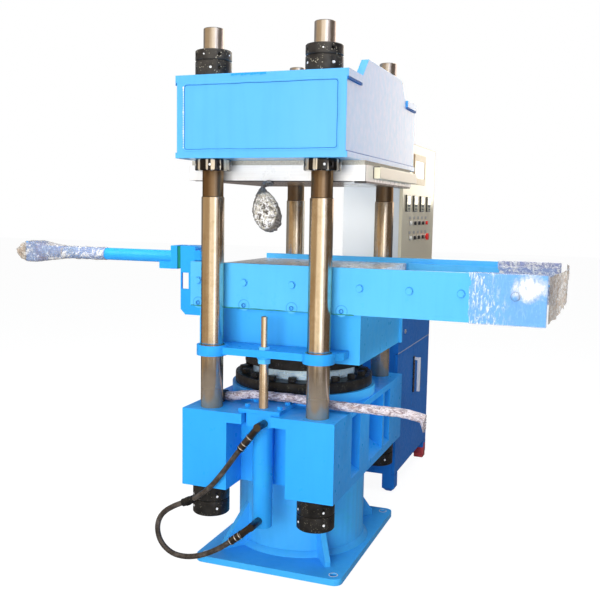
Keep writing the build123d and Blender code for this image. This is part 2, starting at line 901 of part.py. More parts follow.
def ram_flange():
    """The round flange between the ram and the moving block."""
    with BuildPart() as flange:
        with BuildSketch(Plane.XY.offset(flange_bottom)):
            Circle(flange_dia / 2)
        extrude(amount=flange_thick)
        chamfer(flange.edges().group_by(Axis.Z)[0], column_chamfer)
    save(flange, "ram_flange")


def moving_block():
    """The moving bolster, whose rear plate stands a little proud of both sides."""
    with BuildPart() as block:
        with BuildSketch(Plane.XY.offset(block_bottom)):
            Rectangle(block_length, block_width)
            with Locations((0, block_width / 2 - block_lip_thick / 2)):
                Rectangle(block_length + 2 * block_lip, block_lip_thick)
        extrude(amount=block_height)
    save(block, "moving_block")


def rail_bolt_stations():
    """Places of the hexagon bolts along a rail."""
    stations = [rail_bolt_start + index * rail_bolt_pitch for index in range(3)]
    stations += [rail_bolt_last - index * rail_bolt_short_pitch for index in range(3, -1, -1)]
    return stations


def disc_stations():
    """Places of the countersunk screws, which hold the rail to the table."""
    return [rail_bolt_start + index * rail_bolt_pitch for index in range(4)]


def rail(name, side):
    """A mould rail: a tall plate with an inner ledge that carries the mould past the platen."""
    length = rail_end - rail_start
    ledge_start = lower_platen_length / 2 + ledge_end_gap
    ledge_length = rail_end - ledge_end_gap - ledge_start
    middle_y = side * rail_pitch / 2
    ledge_y = side * (rail_inner - ledge_width / 2)
    outer_y = side * rail_outer
    out_plane = Plane(origin=(0, outer_y, block_top), x_dir=(1, 0, 0), z_dir=(0, side, 0))
    up = out_plane.y_dir.Z
    with BuildPart() as bar:
        with BuildSketch(Plane.XY.offset(block_top)):
            with Locations((rail_start + length / 2, middle_y)):
                Rectangle(length, rail_thick)
        extrude(amount=rail_height)
        with BuildSketch(Plane.XY.offset(lower_platen_top - ledge_height)):
            with Locations((ledge_start + ledge_length / 2, ledge_y)):
                Rectangle(ledge_length, ledge_width)
        extrude(amount=ledge_height)
        with BuildSketch(out_plane):
            with Locations(*[(place, up * rail_bolt_rise) for place in rail_bolt_stations()]):
                Circle(rail_bolt_dia / 2 + bolt_gap)
        extrude(amount=-rail_bolt_reach, mode=Mode.SUBTRACT)
        with BuildSketch(out_plane):
            with Locations(*[(place, up * disc_rise) for place in disc_stations()]):
                Circle(disc_dia / 2 + bolt_gap)
        extrude(amount=-disc_height, mode=Mode.SUBTRACT)
    save(bar, name)


def rail_fasteners():
    """Hexagon bolts and flush socket screws in both rails."""
    with BuildPart() as fasteners:
        for side in (-1, 1):
            out_plane = Plane(origin=(0, side * rail_outer, block_top), x_dir=(1, 0, 0), z_dir=(0, side, 0))
            up = out_plane.y_dir.Z
            bolts = [(place, up * rail_bolt_rise) for place in rail_bolt_stations()]
            discs = [(place, up * disc_rise) for place in disc_stations()]
            with BuildSketch(out_plane):
                with Locations(*bolts):
                    RegularPolygon(rail_head_flats / 2, 6, major_radius=False)
            extrude(amount=rail_head_height)
            with BuildSketch(out_plane):
                with Locations(*bolts):
                    Circle(rail_bolt_dia / 2)
            extrude(amount=-rail_bolt_reach)
            with BuildSketch(out_plane):
                with Locations(*discs):
                    Circle(disc_dia / 2)
            extrude(amount=-disc_height)
            with BuildSketch(out_plane):
                with Locations(*discs):
                    RegularPolygon(socket_flats / 2, 6, major_radius=False)
            extrude(amount=-disc_height * 2 / 3, mode=Mode.SUBTRACT)
    save(fasteners, "rail_fasteners")


def pusher_bracket():
    """The bracket that carries the pusher cylinder on the left face of the moving block."""
    left = pusher_bracket_left
    right = -block_length / 2
    wall_right = left + bracket_wall
    window_left = left + window_inset
    with BuildPart() as bracket:
        with BuildSketch(Plane.XZ.offset(-bracket_width / 2)):
            with BuildLine():
                Polyline(
                    (left, bracket_bottom + bracket_chamfer),
                    (left + bracket_chamfer, bracket_bottom),
                    (right, bracket_bottom),
                    (right, block_top - bolt_gap),
                    (right - bracket_slope, bracket_seat),
                    (wall_right, bracket_seat),
                    (wall_right, bracket_top),
                    (left, bracket_top),
                    close=True,
                )
            make_face()
        extrude(amount=bracket_width)
        fillet(bracket.edges().filter_by(Axis.Y).group_by(Axis.Z)[-1].sort_by(Axis.X)[-1], bracket_round)
        with BuildSketch(Plane.XZ.offset(-bracket_width / 2 - cut_over)):
            with Locations((window_left + window_length / 2, window_bottom + window_height / 2)):
                Rectangle(window_length, window_height)
        extrude(amount=bracket_width + 2 * cut_over, mode=Mode.SUBTRACT)
        with BuildSketch(Plane.YZ.offset(left - cut_over)):
            with Locations((0, window_bottom + window_height / 2)):
                Rectangle(bracket_width - 2 * bracket_cheek, window_height + 2 * pocket_margin)
        extrude(amount=window_inset + window_length + pocket_margin + cut_over, mode=Mode.SUBTRACT)
        with BuildSketch(Plane.YZ.offset(left - cut_over)):
            with Locations((0, pusher_height)):
                Circle(pusher_rod_dia / 2 + 2 * bolt_gap)
        extrude(amount=bracket_wall + 2 * cut_over, mode=Mode.SUBTRACT)
    save(bracket, "pusher_bracket")


def pusher_spacer():
    """The dark packing plate between the pusher cylinder and its bracket."""
    side = pusher_flange - 2 * spacer_inset
    with BuildPart() as spacer:
        with BuildSketch(Plane.YZ.offset(pusher_flange_right)):
            with Locations((0, pusher_height)):
                Rectangle(side, side)
                Circle(pusher_rod_dia / 2 + 2 * bolt_gap, mode=Mode.SUBTRACT)
        extrude(amount=spacer_thick)
    save(spacer, "pusher_spacer")


def pusher_cylinder():
    """The pusher cylinder: square front flange, round tube, square end cap and a port block."""
    with BuildPart() as cylinder:
        with BuildSketch(Plane.YZ.offset(pusher_tube_right)):
            with Locations((0, pusher_height)):
                RectangleRounded(pusher_flange, pusher_flange, column_chamfer)
        extrude(amount=pusher_flange_thick)
        with BuildSketch(Plane.YZ.offset(pusher_tube_left)):
            with Locations((0, pusher_height)):
                Circle(pusher_tube_dia / 2)
        extrude(amount=pusher_tube_length)
        with BuildSketch(Plane.YZ.offset(pusher_cap_left)):
            with Locations((0, pusher_height)):
                RectangleRounded(pusher_cap, pusher_cap, column_chamfer)
        extrude(amount=pusher_cap_thick)
        port_z = pusher_height - pusher_tube_dia / 2 - pusher_port_height / 2
        with BuildSketch(Plane.YZ.offset(pusher_tube_right - pusher_port_length)):
            with Locations((0, port_z + pusher_bore_wall / 2)):
                Rectangle(pusher_port_width, pusher_port_height + pusher_bore_wall)
        extrude(amount=pusher_port_length)
        with BuildSketch(Plane.YZ.offset(pusher_tube_left)):
            with Locations((0, pusher_height)):
                Circle(pusher_bore_dia / 2)
        extrude(amount=pusher_tube_length, mode=Mode.SUBTRACT)
        with BuildSketch(Plane.YZ.offset(pusher_tube_right - cut_over)):
            with Locations((0, pusher_height)):
                Circle(pusher_rod_dia / 2 + fit_gap)
        extrude(amount=pusher_flange_thick + 2 * cut_over, mode=Mode.SUBTRACT)
    save(cylinder, "pusher_cylinder")


def pusher_rod():
    """The pusher rod and its piston."""
    piston_left = pusher_tube_left + pusher_piston_inset
    rod_right = pusher_bracket_left + bracket_wall + seat_gap
    with BuildPart() as shaft:
        with BuildSketch(Plane.YZ.offset(piston_left)):
            with Locations((0, pusher_height)):
                Circle(pusher_bore_dia / 2 - fit_gap)
        extrude(amount=pusher_piston_thick)
        with BuildSketch(Plane.YZ.offset(piston_left)):
            with Locations((0, pusher_height)):
                Circle(pusher_rod_dia / 2)
        extrude(amount=rod_right - piston_left)
    save(shaft, "pusher_rod")


def pusher_head():
    """The block on the rod end that pushes the mould out over the rails."""
    left = pusher_bracket_left + bracket_wall + seat_gap
    bottom = lower_platen_top + pusher_head_lift
    with BuildPart() as head:
        with BuildSketch(Plane.YZ.offset(left)):
            with Locations((0, bottom + pusher_head_height / 2)):
                Rectangle(pusher_head_width, pusher_head_height)
        extrude(amount=pusher_head_length)
        chamfer(head.faces().sort_by(Axis.X)[-1].edges(), pusher_head_corner)
    save(head, "pusher_head")


def protective_film():
    """Packing film on the rail ends and across them, and round the pusher tube and its tail."""
    outer_x = rail_end + film_thick
    with BuildPart() as film:
        for side in (-1, 1):
            middle_y = side * rail_pitch / 2
            with BuildSketch(Plane.YZ.offset(rail_film_start)):
                with Locations((middle_y, block_top + rail_height / 2)):
                    Rectangle(rail_thick + 2 * film_thick, rail_height + 2 * film_thick)
            extrude(amount=outer_x - rail_film_start)
        with BuildSketch(Plane.YZ.offset(pusher_tube_left + seat_gap)):
            with Locations((0, pusher_height)):
                Circle(pusher_tube_dia / 2 + film_thick + seat_gap)
                Circle(pusher_tube_dia / 2 + seat_gap, mode=Mode.SUBTRACT)
        extrude(amount=pusher_film_start - pusher_tube_left)
        with BuildSketch(Plane.YZ.offset(pusher_cap_left - seat_gap)):
            with Locations((0, pusher_height)):
                Circle(pusher_cap / 2 - column_chamfer)
        with BuildSketch(Plane.YZ.offset(pusher_cap_left - seat_gap - film_tail)):
            with Locations((0, pusher_height)):
                Circle(film_tail_tip)
        loft()
        film_cut = seat_gap / 3
        with BuildSketch(Plane.YZ.offset(rail_film_start - cut_over)):
            with GridLocations(rail_pitch, 0, 2, 1):
                with Locations((0, block_top + rail_height / 2)):
                    Rectangle(rail_thick + 2 * film_cut, rail_height + 2 * film_cut)
        extrude(amount=rail_end - rail_film_start + cut_over + film_cut, mode=Mode.SUBTRACT)
        ledge_cut = ledge_width + film_thick + cut_over
        with BuildSketch(Plane.YZ.offset(rail_film_start - cut_over)):
            with GridLocations(2 * (rail_inner - ledge_cut / 2 + film_cut), 0, 2, 1):
                with Locations((0, lower_platen_top - ledge_height / 2)):
                    Rectangle(ledge_cut, ledge_height + 2 * film_cut)
        extrude(amount=rail_end - rail_film_start, mode=Mode.SUBTRACT)
        covered = [place for place in rail_bolt_stations() if place > rail_film_start]
        with BuildSketch(Plane.XZ.offset(-rail_outer - cut_over)):
            with Locations(*[(place, block_top + rail_bolt_rise) for place in covered]):
                Circle(rail_head_flats / 2 + film_thick)
        extrude(amount=2 * rail_outer + 2 * cut_over, mode=Mode.SUBTRACT)
        sheet_start = outer_x + seat_gap
        with BuildSketch(Plane.XY.offset(block_top + film_sheet_drop)):
            with BuildLine():
                outside = ThreePointArc(
                    (sheet_start + film_thick, -rail_outer),
                    (sheet_start + film_sheet_bow + film_thick, 0),
                    (sheet_start + film_thick, rail_outer),
                )
                inside = ThreePointArc(
                    (sheet_start, rail_outer),
                    (sheet_start + film_sheet_bow, 0),
                    (sheet_start, -rail_outer),
                )
                Line(outside @ 1, inside @ 0)
                Line(inside @ 1, outside @ 0)
            make_face()
        extrude(amount=rail_height - film_sheet_drop)
    save(film, "protective_film")


def port_direction(start, end):
    """Unit vector along the first or last run of the hose."""
    run = Vector(end[0] - start[0], 0, end[1] - start[1])
    return run.normalized()


def hose_fittings():
    """Elbows and ferrules of the hydraulic hose, and the clip of the wrapped line."""
    first_run = port_direction(hose_route[1], hose_route[0])
    last_run = port_direction(hose_route[-2], hose_route[-1])
    head_face = lift_offset + lift_head_width / 2
    ends = [(hose_route[0], first_run, head_face), (hose_route[-1], last_run, lift_offset)]
    with BuildPart() as fittings:
        for place, direction, face in ends:
            hose_end = Vector(place[0], hose_plane, place[1])
            with BuildSketch(Plane(origin=hose_end, z_dir=direction)):
                Circle(ferrule_dia / 2)
            extrude(amount=ferrule_length)
            elbow_at = hose_end + direction * ferrule_length
            with BuildSketch(Plane(origin=(elbow_at.X, -face, elbow_at.Z), z_dir=(0, -1, 0))):
                Circle(elbow_dia / 2)
            extrude(amount=-hose_plane - face + elbow_dia / 2)
        with BuildSketch(Plane.XY.offset(lift_tube_bottom)):
            with Locations((0, -lift_offset)):
                Circle(lift_tube_dia / 2 + fit_gap)
        extrude(amount=beam_bottom - lift_tube_bottom, mode=Mode.SUBTRACT)
        clip_y = wrapped_route[0][1]
        clip_z = wrapped_route[0][2]
        clip_radius = wrapped_dia / 2 + clip_gap
        clip_outside = 2 * (clip_radius + clip_thick)
        with BuildSketch(Plane.YZ.offset(wrapped_route[0][0])):
            with Locations((clip_y, clip_z)):
                Circle(clip_outside / 2)
            with Locations((clip_y, clip_z - clip_outside / 4)):
                Rectangle(clip_outside, clip_outside / 2)
            with Locations((clip_y, beam_top + clip_thick / 2)):
                Rectangle(clip_foot, clip_thick)
            with Locations((clip_y, clip_z)):
                Circle(clip_radius, mode=Mode.SUBTRACT)
            with Locations((clip_y, clip_z - clip_outside / 2)):
                Rectangle(2 * clip_radius, clip_outside, mode=Mode.SUBTRACT)
            with Locations((clip_y, beam_top - clip_outside / 2)):
                Rectangle(2 * clip_foot, clip_outside, mode=Mode.SUBTRACT)
        extrude(amount=clip_length)
    save(fittings, "hose_fittings")


def cable_bundle():
    """A hank of leads wrapped in film, whose tied neck bends over to the upper platen edge."""
    top = bundle_z + bundle_height / 2
    edge_y = -upper_platen_width / 2
    route = [
        (neck_x, bundle_y, top - neck_dia),
        (neck_x, bundle_y, top + neck_rise),
        (neck_x, edge_y, top + neck_rise),
    ]
    with BuildPart() as bundle:
        with BuildSketch(Plane.XZ.offset(-bundle_y - bundle_thick / 2)):
            with Locations((bundle_x, bundle_z)):
                Ellipse(bundle_width / 2, bundle_height / 2)
        extrude(amount=bundle_thick)
        fillet(bundle.edges(), bundle_thick / 3)
        with BuildLine() as path:
            FilletPolyline(*route, radius=neck_dia)
        with BuildSketch(Plane(origin=path.line @ 0, z_dir=path.line % 0)):
            Circle(neck_dia / 2)
        sweep(path=path.wires()[0])
    save(bundle, "cable_bundle")


def cabinet_y(s):
    """Place along the cabinet face, measured from its near edge."""
    return cabinet_near + s


def cabinet_lower():
    """The blue lower carcass on four legs, with the fixed panel between the doors."""
    middle_x = (cabinet_back + door_back) / 2
    middle_y = cabinet_near + cabinet_width / 2
    depth = door_back - cabinet_back
    with BuildPart() as carcass:
        with BuildSketch(Plane.XY.offset(cabinet_leg_height)):
            with Locations((middle_x, middle_y)):
                Rectangle(depth, cabinet_width)
        extrude(amount=two_tone - cabinet_leg_height)
        with BuildSketch(Plane.XY.offset(lower_door_top)):
            with Locations((cabinet_front - door_thick / 2, middle_y)):
                Rectangle(door_thick, cabinet_width)
        extrude(amount=two_tone - lower_door_top)
        with BuildSketch():
            with Locations((middle_x + door_thick / 2, middle_y)):
                with GridLocations(depth + door_thick - cabinet_leg, cabinet_width - cabinet_leg, 2, 2):
                    Rectangle(cabinet_leg, cabinet_leg)
        extrude(amount=cabinet_leg_height)
        feet = carcass.edges().group_by(Axis.Z)[0]
        chamfer(feet, cabinet_leg_chamfer)
        with BuildSketch(Plane.XY.offset(cabinet_leg_height + cabinet_wall)):
            with Locations((middle_x + cabinet_wall / 2, middle_y)):
                Rectangle(depth - cabinet_wall, cabinet_width - 2 * cabinet_wall)
        extrude(amount=lower_door_top - cabinet_leg_height - 2 * cabinet_wall, mode=Mode.SUBTRACT)
        lock_plane = Plane.YZ.offset(cabinet_front)
        with BuildSketch(lock_plane):
            with Locations((cabinet_y(lock_s), lock_z)):
                Circle(lock_stem_dia / 2 + fit_gap)
        extrude(amount=-door_thick - cabinet_wall, mode=Mode.SUBTRACT)
    save(carcass, "cabinet_lower")


def cabinet_upper():
    """The pale upper carcass, open at the front."""
    middle_x = (cabinet_back + door_back) / 2
    middle_y = cabinet_near + cabinet_width / 2
    depth = door_back - cabinet_back
    height = cabinet_height - two_tone
    with BuildPart() as carcass:
        with BuildSketch(Plane.XY.offset(two_tone)):
            with Locations((middle_x, middle_y)):
                Rectangle(depth, cabinet_width)
        extrude(amount=height)
        back_top = carcass.edges().filter_by(Axis.Y).group_by(Axis.Z)[-1].sort_by(Axis.X)[0]
        fillet(back_top, cabinet_edge_round)
        with BuildSketch(Plane.XY.offset(two_tone + cabinet_wall)):
            with Locations((middle_x + cabinet_wall / 2, middle_y)):
                Rectangle(depth - cabinet_wall, cabinet_width - 2 * cabinet_wall)
        extrude(amount=height - 2 * cabinet_wall, mode=Mode.SUBTRACT)
    save(carcass, "cabinet_upper")


def button_places():
    """Face places of the push buttons, upper row first."""
    places = []
    for row_z in (button_row_high, button_row_low):
        for index in range(button_count):
            places.append((cabinet_y(button_near_margin + index * button_pitch), row_z))
    return places


def meter_places():
    """Face places of the temperature controllers."""
    first = cabinet_y(meter_near_margin)
    return [(first + index * meter_pitch, meter_z) for index in range(meter_count)]


def upper_door():
    """The pale upper door with its cut-outs for screen, controllers and buttons."""
    bottom = two_tone + door_gap
    top = cabinet_height
    middle = (cabinet_y(cabinet_width / 2), (bottom + top) / 2)
    with BuildPart() as door:
        with BuildSketch(Plane.YZ.offset(door_back + seat_gap)):
            with Locations(middle):
                Rectangle(cabinet_width, top - bottom)
            with Locations((cabinet_y(screen_centre), screen_z)):
                Rectangle(screen_length - 2 * screen_cut_inset, screen_height - 2 * screen_cut_inset,
                          mode=Mode.SUBTRACT)
            with Locations(*meter_places()):
                Rectangle(meter_cut, meter_cut, mode=Mode.SUBTRACT)
            with Locations(*button_places()):
                Circle(button_stem_dia / 2 + seat_gap, mode=Mode.SUBTRACT)
        extrude(amount=door_thick - seat_gap)
    save(door, "upper_door")


def lower_door(name, start_s, end_s):
    """One blue leaf of the lower double door."""
    bottom = cabinet_leg_height + door_gap
    top = lower_door_top - door_gap
    with BuildPart() as door:
        with BuildSketch(Plane.YZ.offset(door_back + seat_gap)):
            with Locations((cabinet_y((start_s + end_s) / 2), (bottom + top) / 2)):
                Rectangle(end_s - start_s, top - bottom)
        extrude(amount=door_thick - seat_gap)
    save(door, name)


def operator_screen():
    """The operator screen in its frame."""
    place = (cabinet_y(screen_centre), screen_z)
    body_depth = door_thick - seat_gap + meter_depth / 2
    with BuildPart() as screen:
        with BuildSketch(Plane.YZ.offset(cabinet_front)):
            with Locations(place):
                RectangleRounded(screen_length, screen_height, screen_frame)
        extrude(amount=screen_frame)
        with BuildSketch(Plane.YZ.offset(cabinet_front)):
            with Locations(place):
                Rectangle(screen_length - 2 * screen_cut_inset - 2 * seat_gap,
                          screen_height - 2 * screen_cut_inset - 2 * seat_gap)
        extrude(amount=-body_depth)
        with BuildSketch(Plane.YZ.offset(cabinet_front + screen_frame)):
            with Locations(place):
                Rectangle(screen_glass_length, screen_glass_height)
        extrude(amount=-screen_glass_drop, mode=Mode.SUBTRACT)
    save(screen, "operator_screen")


def temperature_controllers():
    """Four square controllers in a row."""
    cut = meter_cut - 2 * seat_gap
    with BuildPart() as meters:
        with BuildSketch(Plane.YZ.offset(cabinet_front)):
            with Locations(*meter_places()):
                RectangleRounded(meter_size, meter_size, column_chamfer)
        extrude(amount=meter_bezel)
        with BuildSketch(Plane.YZ.offset(cabinet_front)):
            with Locations(*meter_places()):
                Rectangle(cut, cut)
        extrude(amount=-meter_depth)
    save(meters, "temperature_controllers")


def button_collars():
    """The bright ring round each push button."""
    with BuildPart() as collars:
        with BuildSketch(Plane.YZ.offset(cabinet_front)):
            with Locations(*button_places()):
                Circle(collar_dia / 2)
                Circle(button_dia / 2 + seat_gap, mode=Mode.SUBTRACT)
        extrude(amount=collar_thick)
    save(collars, "button_collars")


def legend_plates():
    """A bare legend plate above each push button."""
    raised = [(along, up + legend_rise) for along, up in button_places()]
    with BuildPart() as plates:
        with BuildSketch(Plane.YZ.offset(cabinet_front)):
            with Locations(*raised):
                RectangleRounded(legend_length, legend_height, legend_thick)
        extrude(amount=legend_thick)
    save(plates, "legend_plates")


def push_button(name, place, cap_dia, cap_thick):
    """One push button: a cap in front of the door and a stem through it."""
    rest = cabinet_front + button_travel + seat_gap
    with BuildPart() as button:
        with BuildSketch(Plane.YZ.offset(rest)):
            with Locations(place):
                Circle(button_dia / 2)
        extrude(amount=button_proud)
        if cap_dia > button_dia:
            with BuildSketch(Plane.YZ.offset(rest + button_proud - cap_thick / 2)):
                with Locations(place):
                    Circle(cap_dia / 2)
            extrude(amount=cap_thick)
        with BuildSketch(Plane.YZ.offset(door_back)):
            with Locations(place):
                Circle(button_stem_dia / 2)
        extrude(amount=rest - door_back)
        fillet(button.faces().sort_by(Axis.X)[-1].edges(), collar_lip)
    save(button, name)


def handle_base():
    """The base plate of the swing handle."""
    middle = (cabinet_y(seam_s + handle_edge), handle_top - handle_length / 2)
    with BuildPart() as base:
        with BuildSketch(Plane.YZ.offset(cabinet_front)):
            with Locations(middle):
                RectangleRounded(handle_width, handle_length, handle_width / 4)
        extrude(amount=handle_base_thick)
        with BuildSketch(Plane.YZ.offset(cabinet_front + handle_base_thick)):
            with Locations((middle[0], handle_top - handle_pivot_drop)):
                Circle(handle_pivot_dia / 2)
        extrude(amount=handle_proud - handle_base_thick - handle_lever_thick / 3)
    save(base, "handle_base")


def door_handle():
    """The chromed lever, which turns on the pin near the top of its base."""
    along = cabinet_y(seam_s + handle_edge)
    lever_length = handle_length - 2 * handle_lever_inset
    with BuildPart() as lever:
        with BuildSketch(Plane.YZ.offset(cabinet_front + handle_proud - handle_lever_thick)):
            with Locations((along, handle_top - handle_length / 2)):
                RectangleRounded(handle_lever_width, lever_length, handle_lever_width / 3)
        extrude(amount=handle_lever_thick)
        fillet(lever.faces().sort_by(Axis.X)[-1].edges(), column_chamfer)
        with BuildSketch(Plane.YZ.offset(cabinet_front + handle_base_thick + seat_gap)):
            with Locations((along, handle_top - handle_pivot_drop)):
                Circle(handle_lever_width / 2)
        extrude(amount=handle_proud - handle_base_thick - handle_lever_thick)
        with BuildSketch(Plane.YZ.offset(cabinet_front)):
            with Locations((along, handle_top - handle_pivot_drop)):
                Circle(handle_pivot_dia / 2 + fit_gap)
        extrude(amount=handle_proud - handle_lever_thick / 3 + seat_gap, mode=Mode.SUBTRACT)
    save(lever, "door_handle")


def panel_lock():
    """The quarter turn lock of the fixed panel."""
    place = (cabinet_y(lock_s), lock_z)
    with BuildPart() as lock:
        with BuildSketch(Plane.YZ.offset(cabinet_front + seat_gap)):
            with Locations(place):
                Circle(lock_dia / 2)
        extrude(amount=lock_thick)
        with BuildSketch(Plane.YZ.offset(cabinet_front + seat_gap + lock_thick)):
            with Locations(place):
                Rectangle(lock_dia * 3 / 4, lock_thick / 2)
        extrude(amount=lock_thick / 2)
        with BuildSketch(Plane.YZ.offset(cabinet_front - door_thick / 2)):
            with Locations(place):
                Circle(lock_stem_dia / 2)
        extrude(amount=door_thick / 2 + seat_gap)
    save(lock, "panel_lock")


def main():
    """Build and write every sub-part."""
    cylinder_barrel()
    ram_seal()
    gland_ring()
    gland_bolts()
    lower_beam()
    columns()
    low_nuts_bottom = beam_bottom - 2 * low_nut_height
    round_nuts("lower_nuts", low_nut_dia,
               [(low_nuts_bottom, low_nut_height - seat_gap),
                (low_nuts_bottom + low_nut_height, low_nut_height)])
    round_nuts("under_nuts", under_nut_dia, [(head_bottom - under_nut_height, under_nut_height)])
    round_nuts("upper_nuts", top_nut_dia,
               [(head_roof_top, top_nut_height - seat_gap),
                (head_roof_top + top_nut_height, lock_nut_height)])
    crosshead()
    flat_plate("upper_insulation", upper_platen_length - 2 * insulation_inset,
               upper_platen_width - 2 * insulation_inset, upper_insulation_bottom, insulation_thick,
               column_chamfer)
    heated_platen("upper_platen", upper_platen_length, upper_platen_width, upper_platen_bottom)
    terminal_cover()
    lift_cylinders()
    lift_bolts()
    cord_tube([(x, hose_plane, z) for x, z in hose_route], hose_dia, "pressure_hose")
    cord_tube(wrapped_route, wrapped_dia, "wrapped_line")
    hose_fittings()
    cable_bundle()
    ram()
    ram_flange()
    moving_block()
    flat_plate("table_plate", block_length, lower_platen_width, block_top, table_thick, column_chamfer)
    flat_plate("lower_insulation", lower_platen_length - 2 * insulation_inset,
               lower_platen_width - 2 * insulation_inset, table_top, insulation_thick, column_chamfer)
    heated_platen("lower_platen", lower_platen_length, lower_platen_width, lower_platen_bottom)
    rail("front_rail", -1)
    rail("rear_rail", 1)
    rail_fasteners()
    yokes()
    yoke_bushes()
    lift_rods()
    lift_rod_nuts()
    pusher_bracket()
    pusher_spacer()
    pusher_cylinder()
    pusher_rod()
    pusher_head()
    protective_film()
    cabinet_lower()
    cabinet_upper()
    upper_door()
    lower_door("near_door", 0, seam_s - door_gap / 2)
    lower_door("far_door", seam_s + door_gap / 2, cabinet_width)
    operator_screen()
    temperature_controllers()
    button_collars()
    legend_plates()
    places = button_places()
    for index, place in enumerate(places[:-1]):
        push_button(f"push_button_{index + 1}", place, button_dia, button_proud)
    push_button("stop_button", places[-1], mushroom_dia, mushroom_thick)
    handle_base()
    door_handle()
    panel_lock()


main()
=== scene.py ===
import math

import bmesh
import bpy
from mathutils import Matrix, Vector, noise


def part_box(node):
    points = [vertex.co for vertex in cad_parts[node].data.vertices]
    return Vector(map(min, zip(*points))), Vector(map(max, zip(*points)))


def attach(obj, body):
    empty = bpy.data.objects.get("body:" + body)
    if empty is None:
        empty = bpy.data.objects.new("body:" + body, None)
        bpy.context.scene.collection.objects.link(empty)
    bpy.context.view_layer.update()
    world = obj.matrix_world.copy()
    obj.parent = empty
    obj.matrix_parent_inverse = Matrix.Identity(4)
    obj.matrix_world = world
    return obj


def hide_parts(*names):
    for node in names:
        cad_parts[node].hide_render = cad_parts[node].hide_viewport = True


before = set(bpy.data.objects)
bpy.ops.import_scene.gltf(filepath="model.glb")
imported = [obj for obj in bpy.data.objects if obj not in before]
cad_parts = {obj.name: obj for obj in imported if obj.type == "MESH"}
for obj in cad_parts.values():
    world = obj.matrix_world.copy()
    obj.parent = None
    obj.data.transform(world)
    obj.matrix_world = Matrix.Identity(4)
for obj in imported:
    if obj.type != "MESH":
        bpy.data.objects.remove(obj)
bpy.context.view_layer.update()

# Camera, fitted to the photograph
camera_place = Vector((1.3844, -3.7452, 1.6427))
camera_yaw = math.radians(-20.65)
camera_pitch = math.radians(6.28)
camera_roll = math.radians(-0.98)
camera_lens = 49.04
camera_sensor = 36.0

# Surroundings
world_level = 0.27
floor_white = 0.80
floor_glow = 0.80
floor_glow_level = 1.17
floor_size = 30.0
floor_drop = 0.0005
panel_radius = 2.6

# Front and rear of the press, along Y
both_sides = ((-1, "front"), (1, "rear"))

# Fasteners of the rails
rail_bolt_start = -0.352
rail_bolt_pitch = 0.228
rail_bolt_short_pitch = 0.213
rail_bolt_last = 1.049
rail_bolt_z = 1.318
disc_z = 1.217
bolt_ring = 0.0160
disc_ring = 0.0254
socket_ring = 0.0085

# Packing film on the rails and on the pusher
rail_film_start = 0.868
rail_inner_y = 0.430
rail_outer_y = 0.450
film_skin = 0.0022
pusher_axis_z = 1.392
pusher_film_radius = 0.0338

# Columns and anchor holes
column_x = 0.2525
column_y = 0.505
anchor_x = 0.313
anchor_y = 0.424
anchor_top = 0.030

# Hank of leads
hank_centre = Vector((0.002, -0.505, 1.636))
hank_rim_x = 0.062
hank_rim_z = 0.086

# Edges of machined and painted pieces
edge_round = 0.0022
edge_angle = math.radians(34)
weld_gap = 0.00002

# Routes of the two free lines, as in the part's source
hose_plane = -0.620
hose_dia = 0.024
hose_joint = Vector((-0.310, hose_plane, 0.344))
hose_route = [
    (-0.011, 0.672),
    (-0.067, 0.601),
    (-0.128, 0.514),
    (-0.198, 0.424),
    (-0.282, 0.356),
    (-0.368, 0.322),
    (-0.444, 0.272),
    (-0.471, 0.205),
    (-0.453, 0.134),
    (-0.396, 0.089),
    (-0.324, 0.083),
    (-0.248, 0.102),
    (-0.176, 0.138),
    (-0.108, 0.184),
    (-0.046, 0.236),
]
wrapped_dia = 0.043
wrapped_route = [
    (-0.262, -0.3810, 0.7808),
    (-0.205, -0.3800, 0.7811),
    (-0.128, -0.3785, 0.8010),
    (0.000, -0.3770, 0.7995),
    (0.125, -0.3785, 0.8010),
    (0.215, -0.3800, 0.7905),
    (0.300, -0.3815, 0.7880),
    (0.400, -0.3830, 0.7875),
    (0.495, -0.3860, 0.7880),
    (0.580, -0.3880, 0.7885),
    (0.640, -0.3885, 0.7840),
    (0.694, -0.3890, 0.7700),
]


class Nodes:
    """A node tree, with one short call for each node."""

    def __init__(self, owner, empty=False):
        owner.use_nodes = True
        self.tree = owner.node_tree
        if empty:
            self.tree.nodes.clear()

    def feed(self, socket, value):
        """Puts a constant, a colour or another node's output into a socket."""
        if isinstance(value, bpy.types.NodeSocket):
            self.tree.links.new(value, socket)
        elif socket.type == "RGBA":
            socket.default_value = (*value, 1.0)
        else:
            socket.default_value = value

    def node(self, kind, inputs=None, **settings):
        made = self.tree.nodes.new(f"ShaderNode{kind}")
        for key, value in settings.items():
            setattr(made, key, value)
        for key, value in (inputs or {}).items():
            self.feed(made.inputs[key], value)
        return made

    def maths(self, operation, first, second, clamp=False):
        made = self.node("Math", {0: first, 1: second}, operation=operation, use_clamp=clamp)
        return made.outputs["Value"]

    def light(self, kind, colour, strength):
        """A plain Emission, or the Background of the world."""
        return self.node(kind, {"Color": colour, "Strength": strength}).outputs[0]

    def mixed(self, share, first, second):
        """One surface turning into another as the share goes from 0 to 1."""
        return self.node("MixShader", {0: share, 1: first, 2: second}).outputs["Shader"]


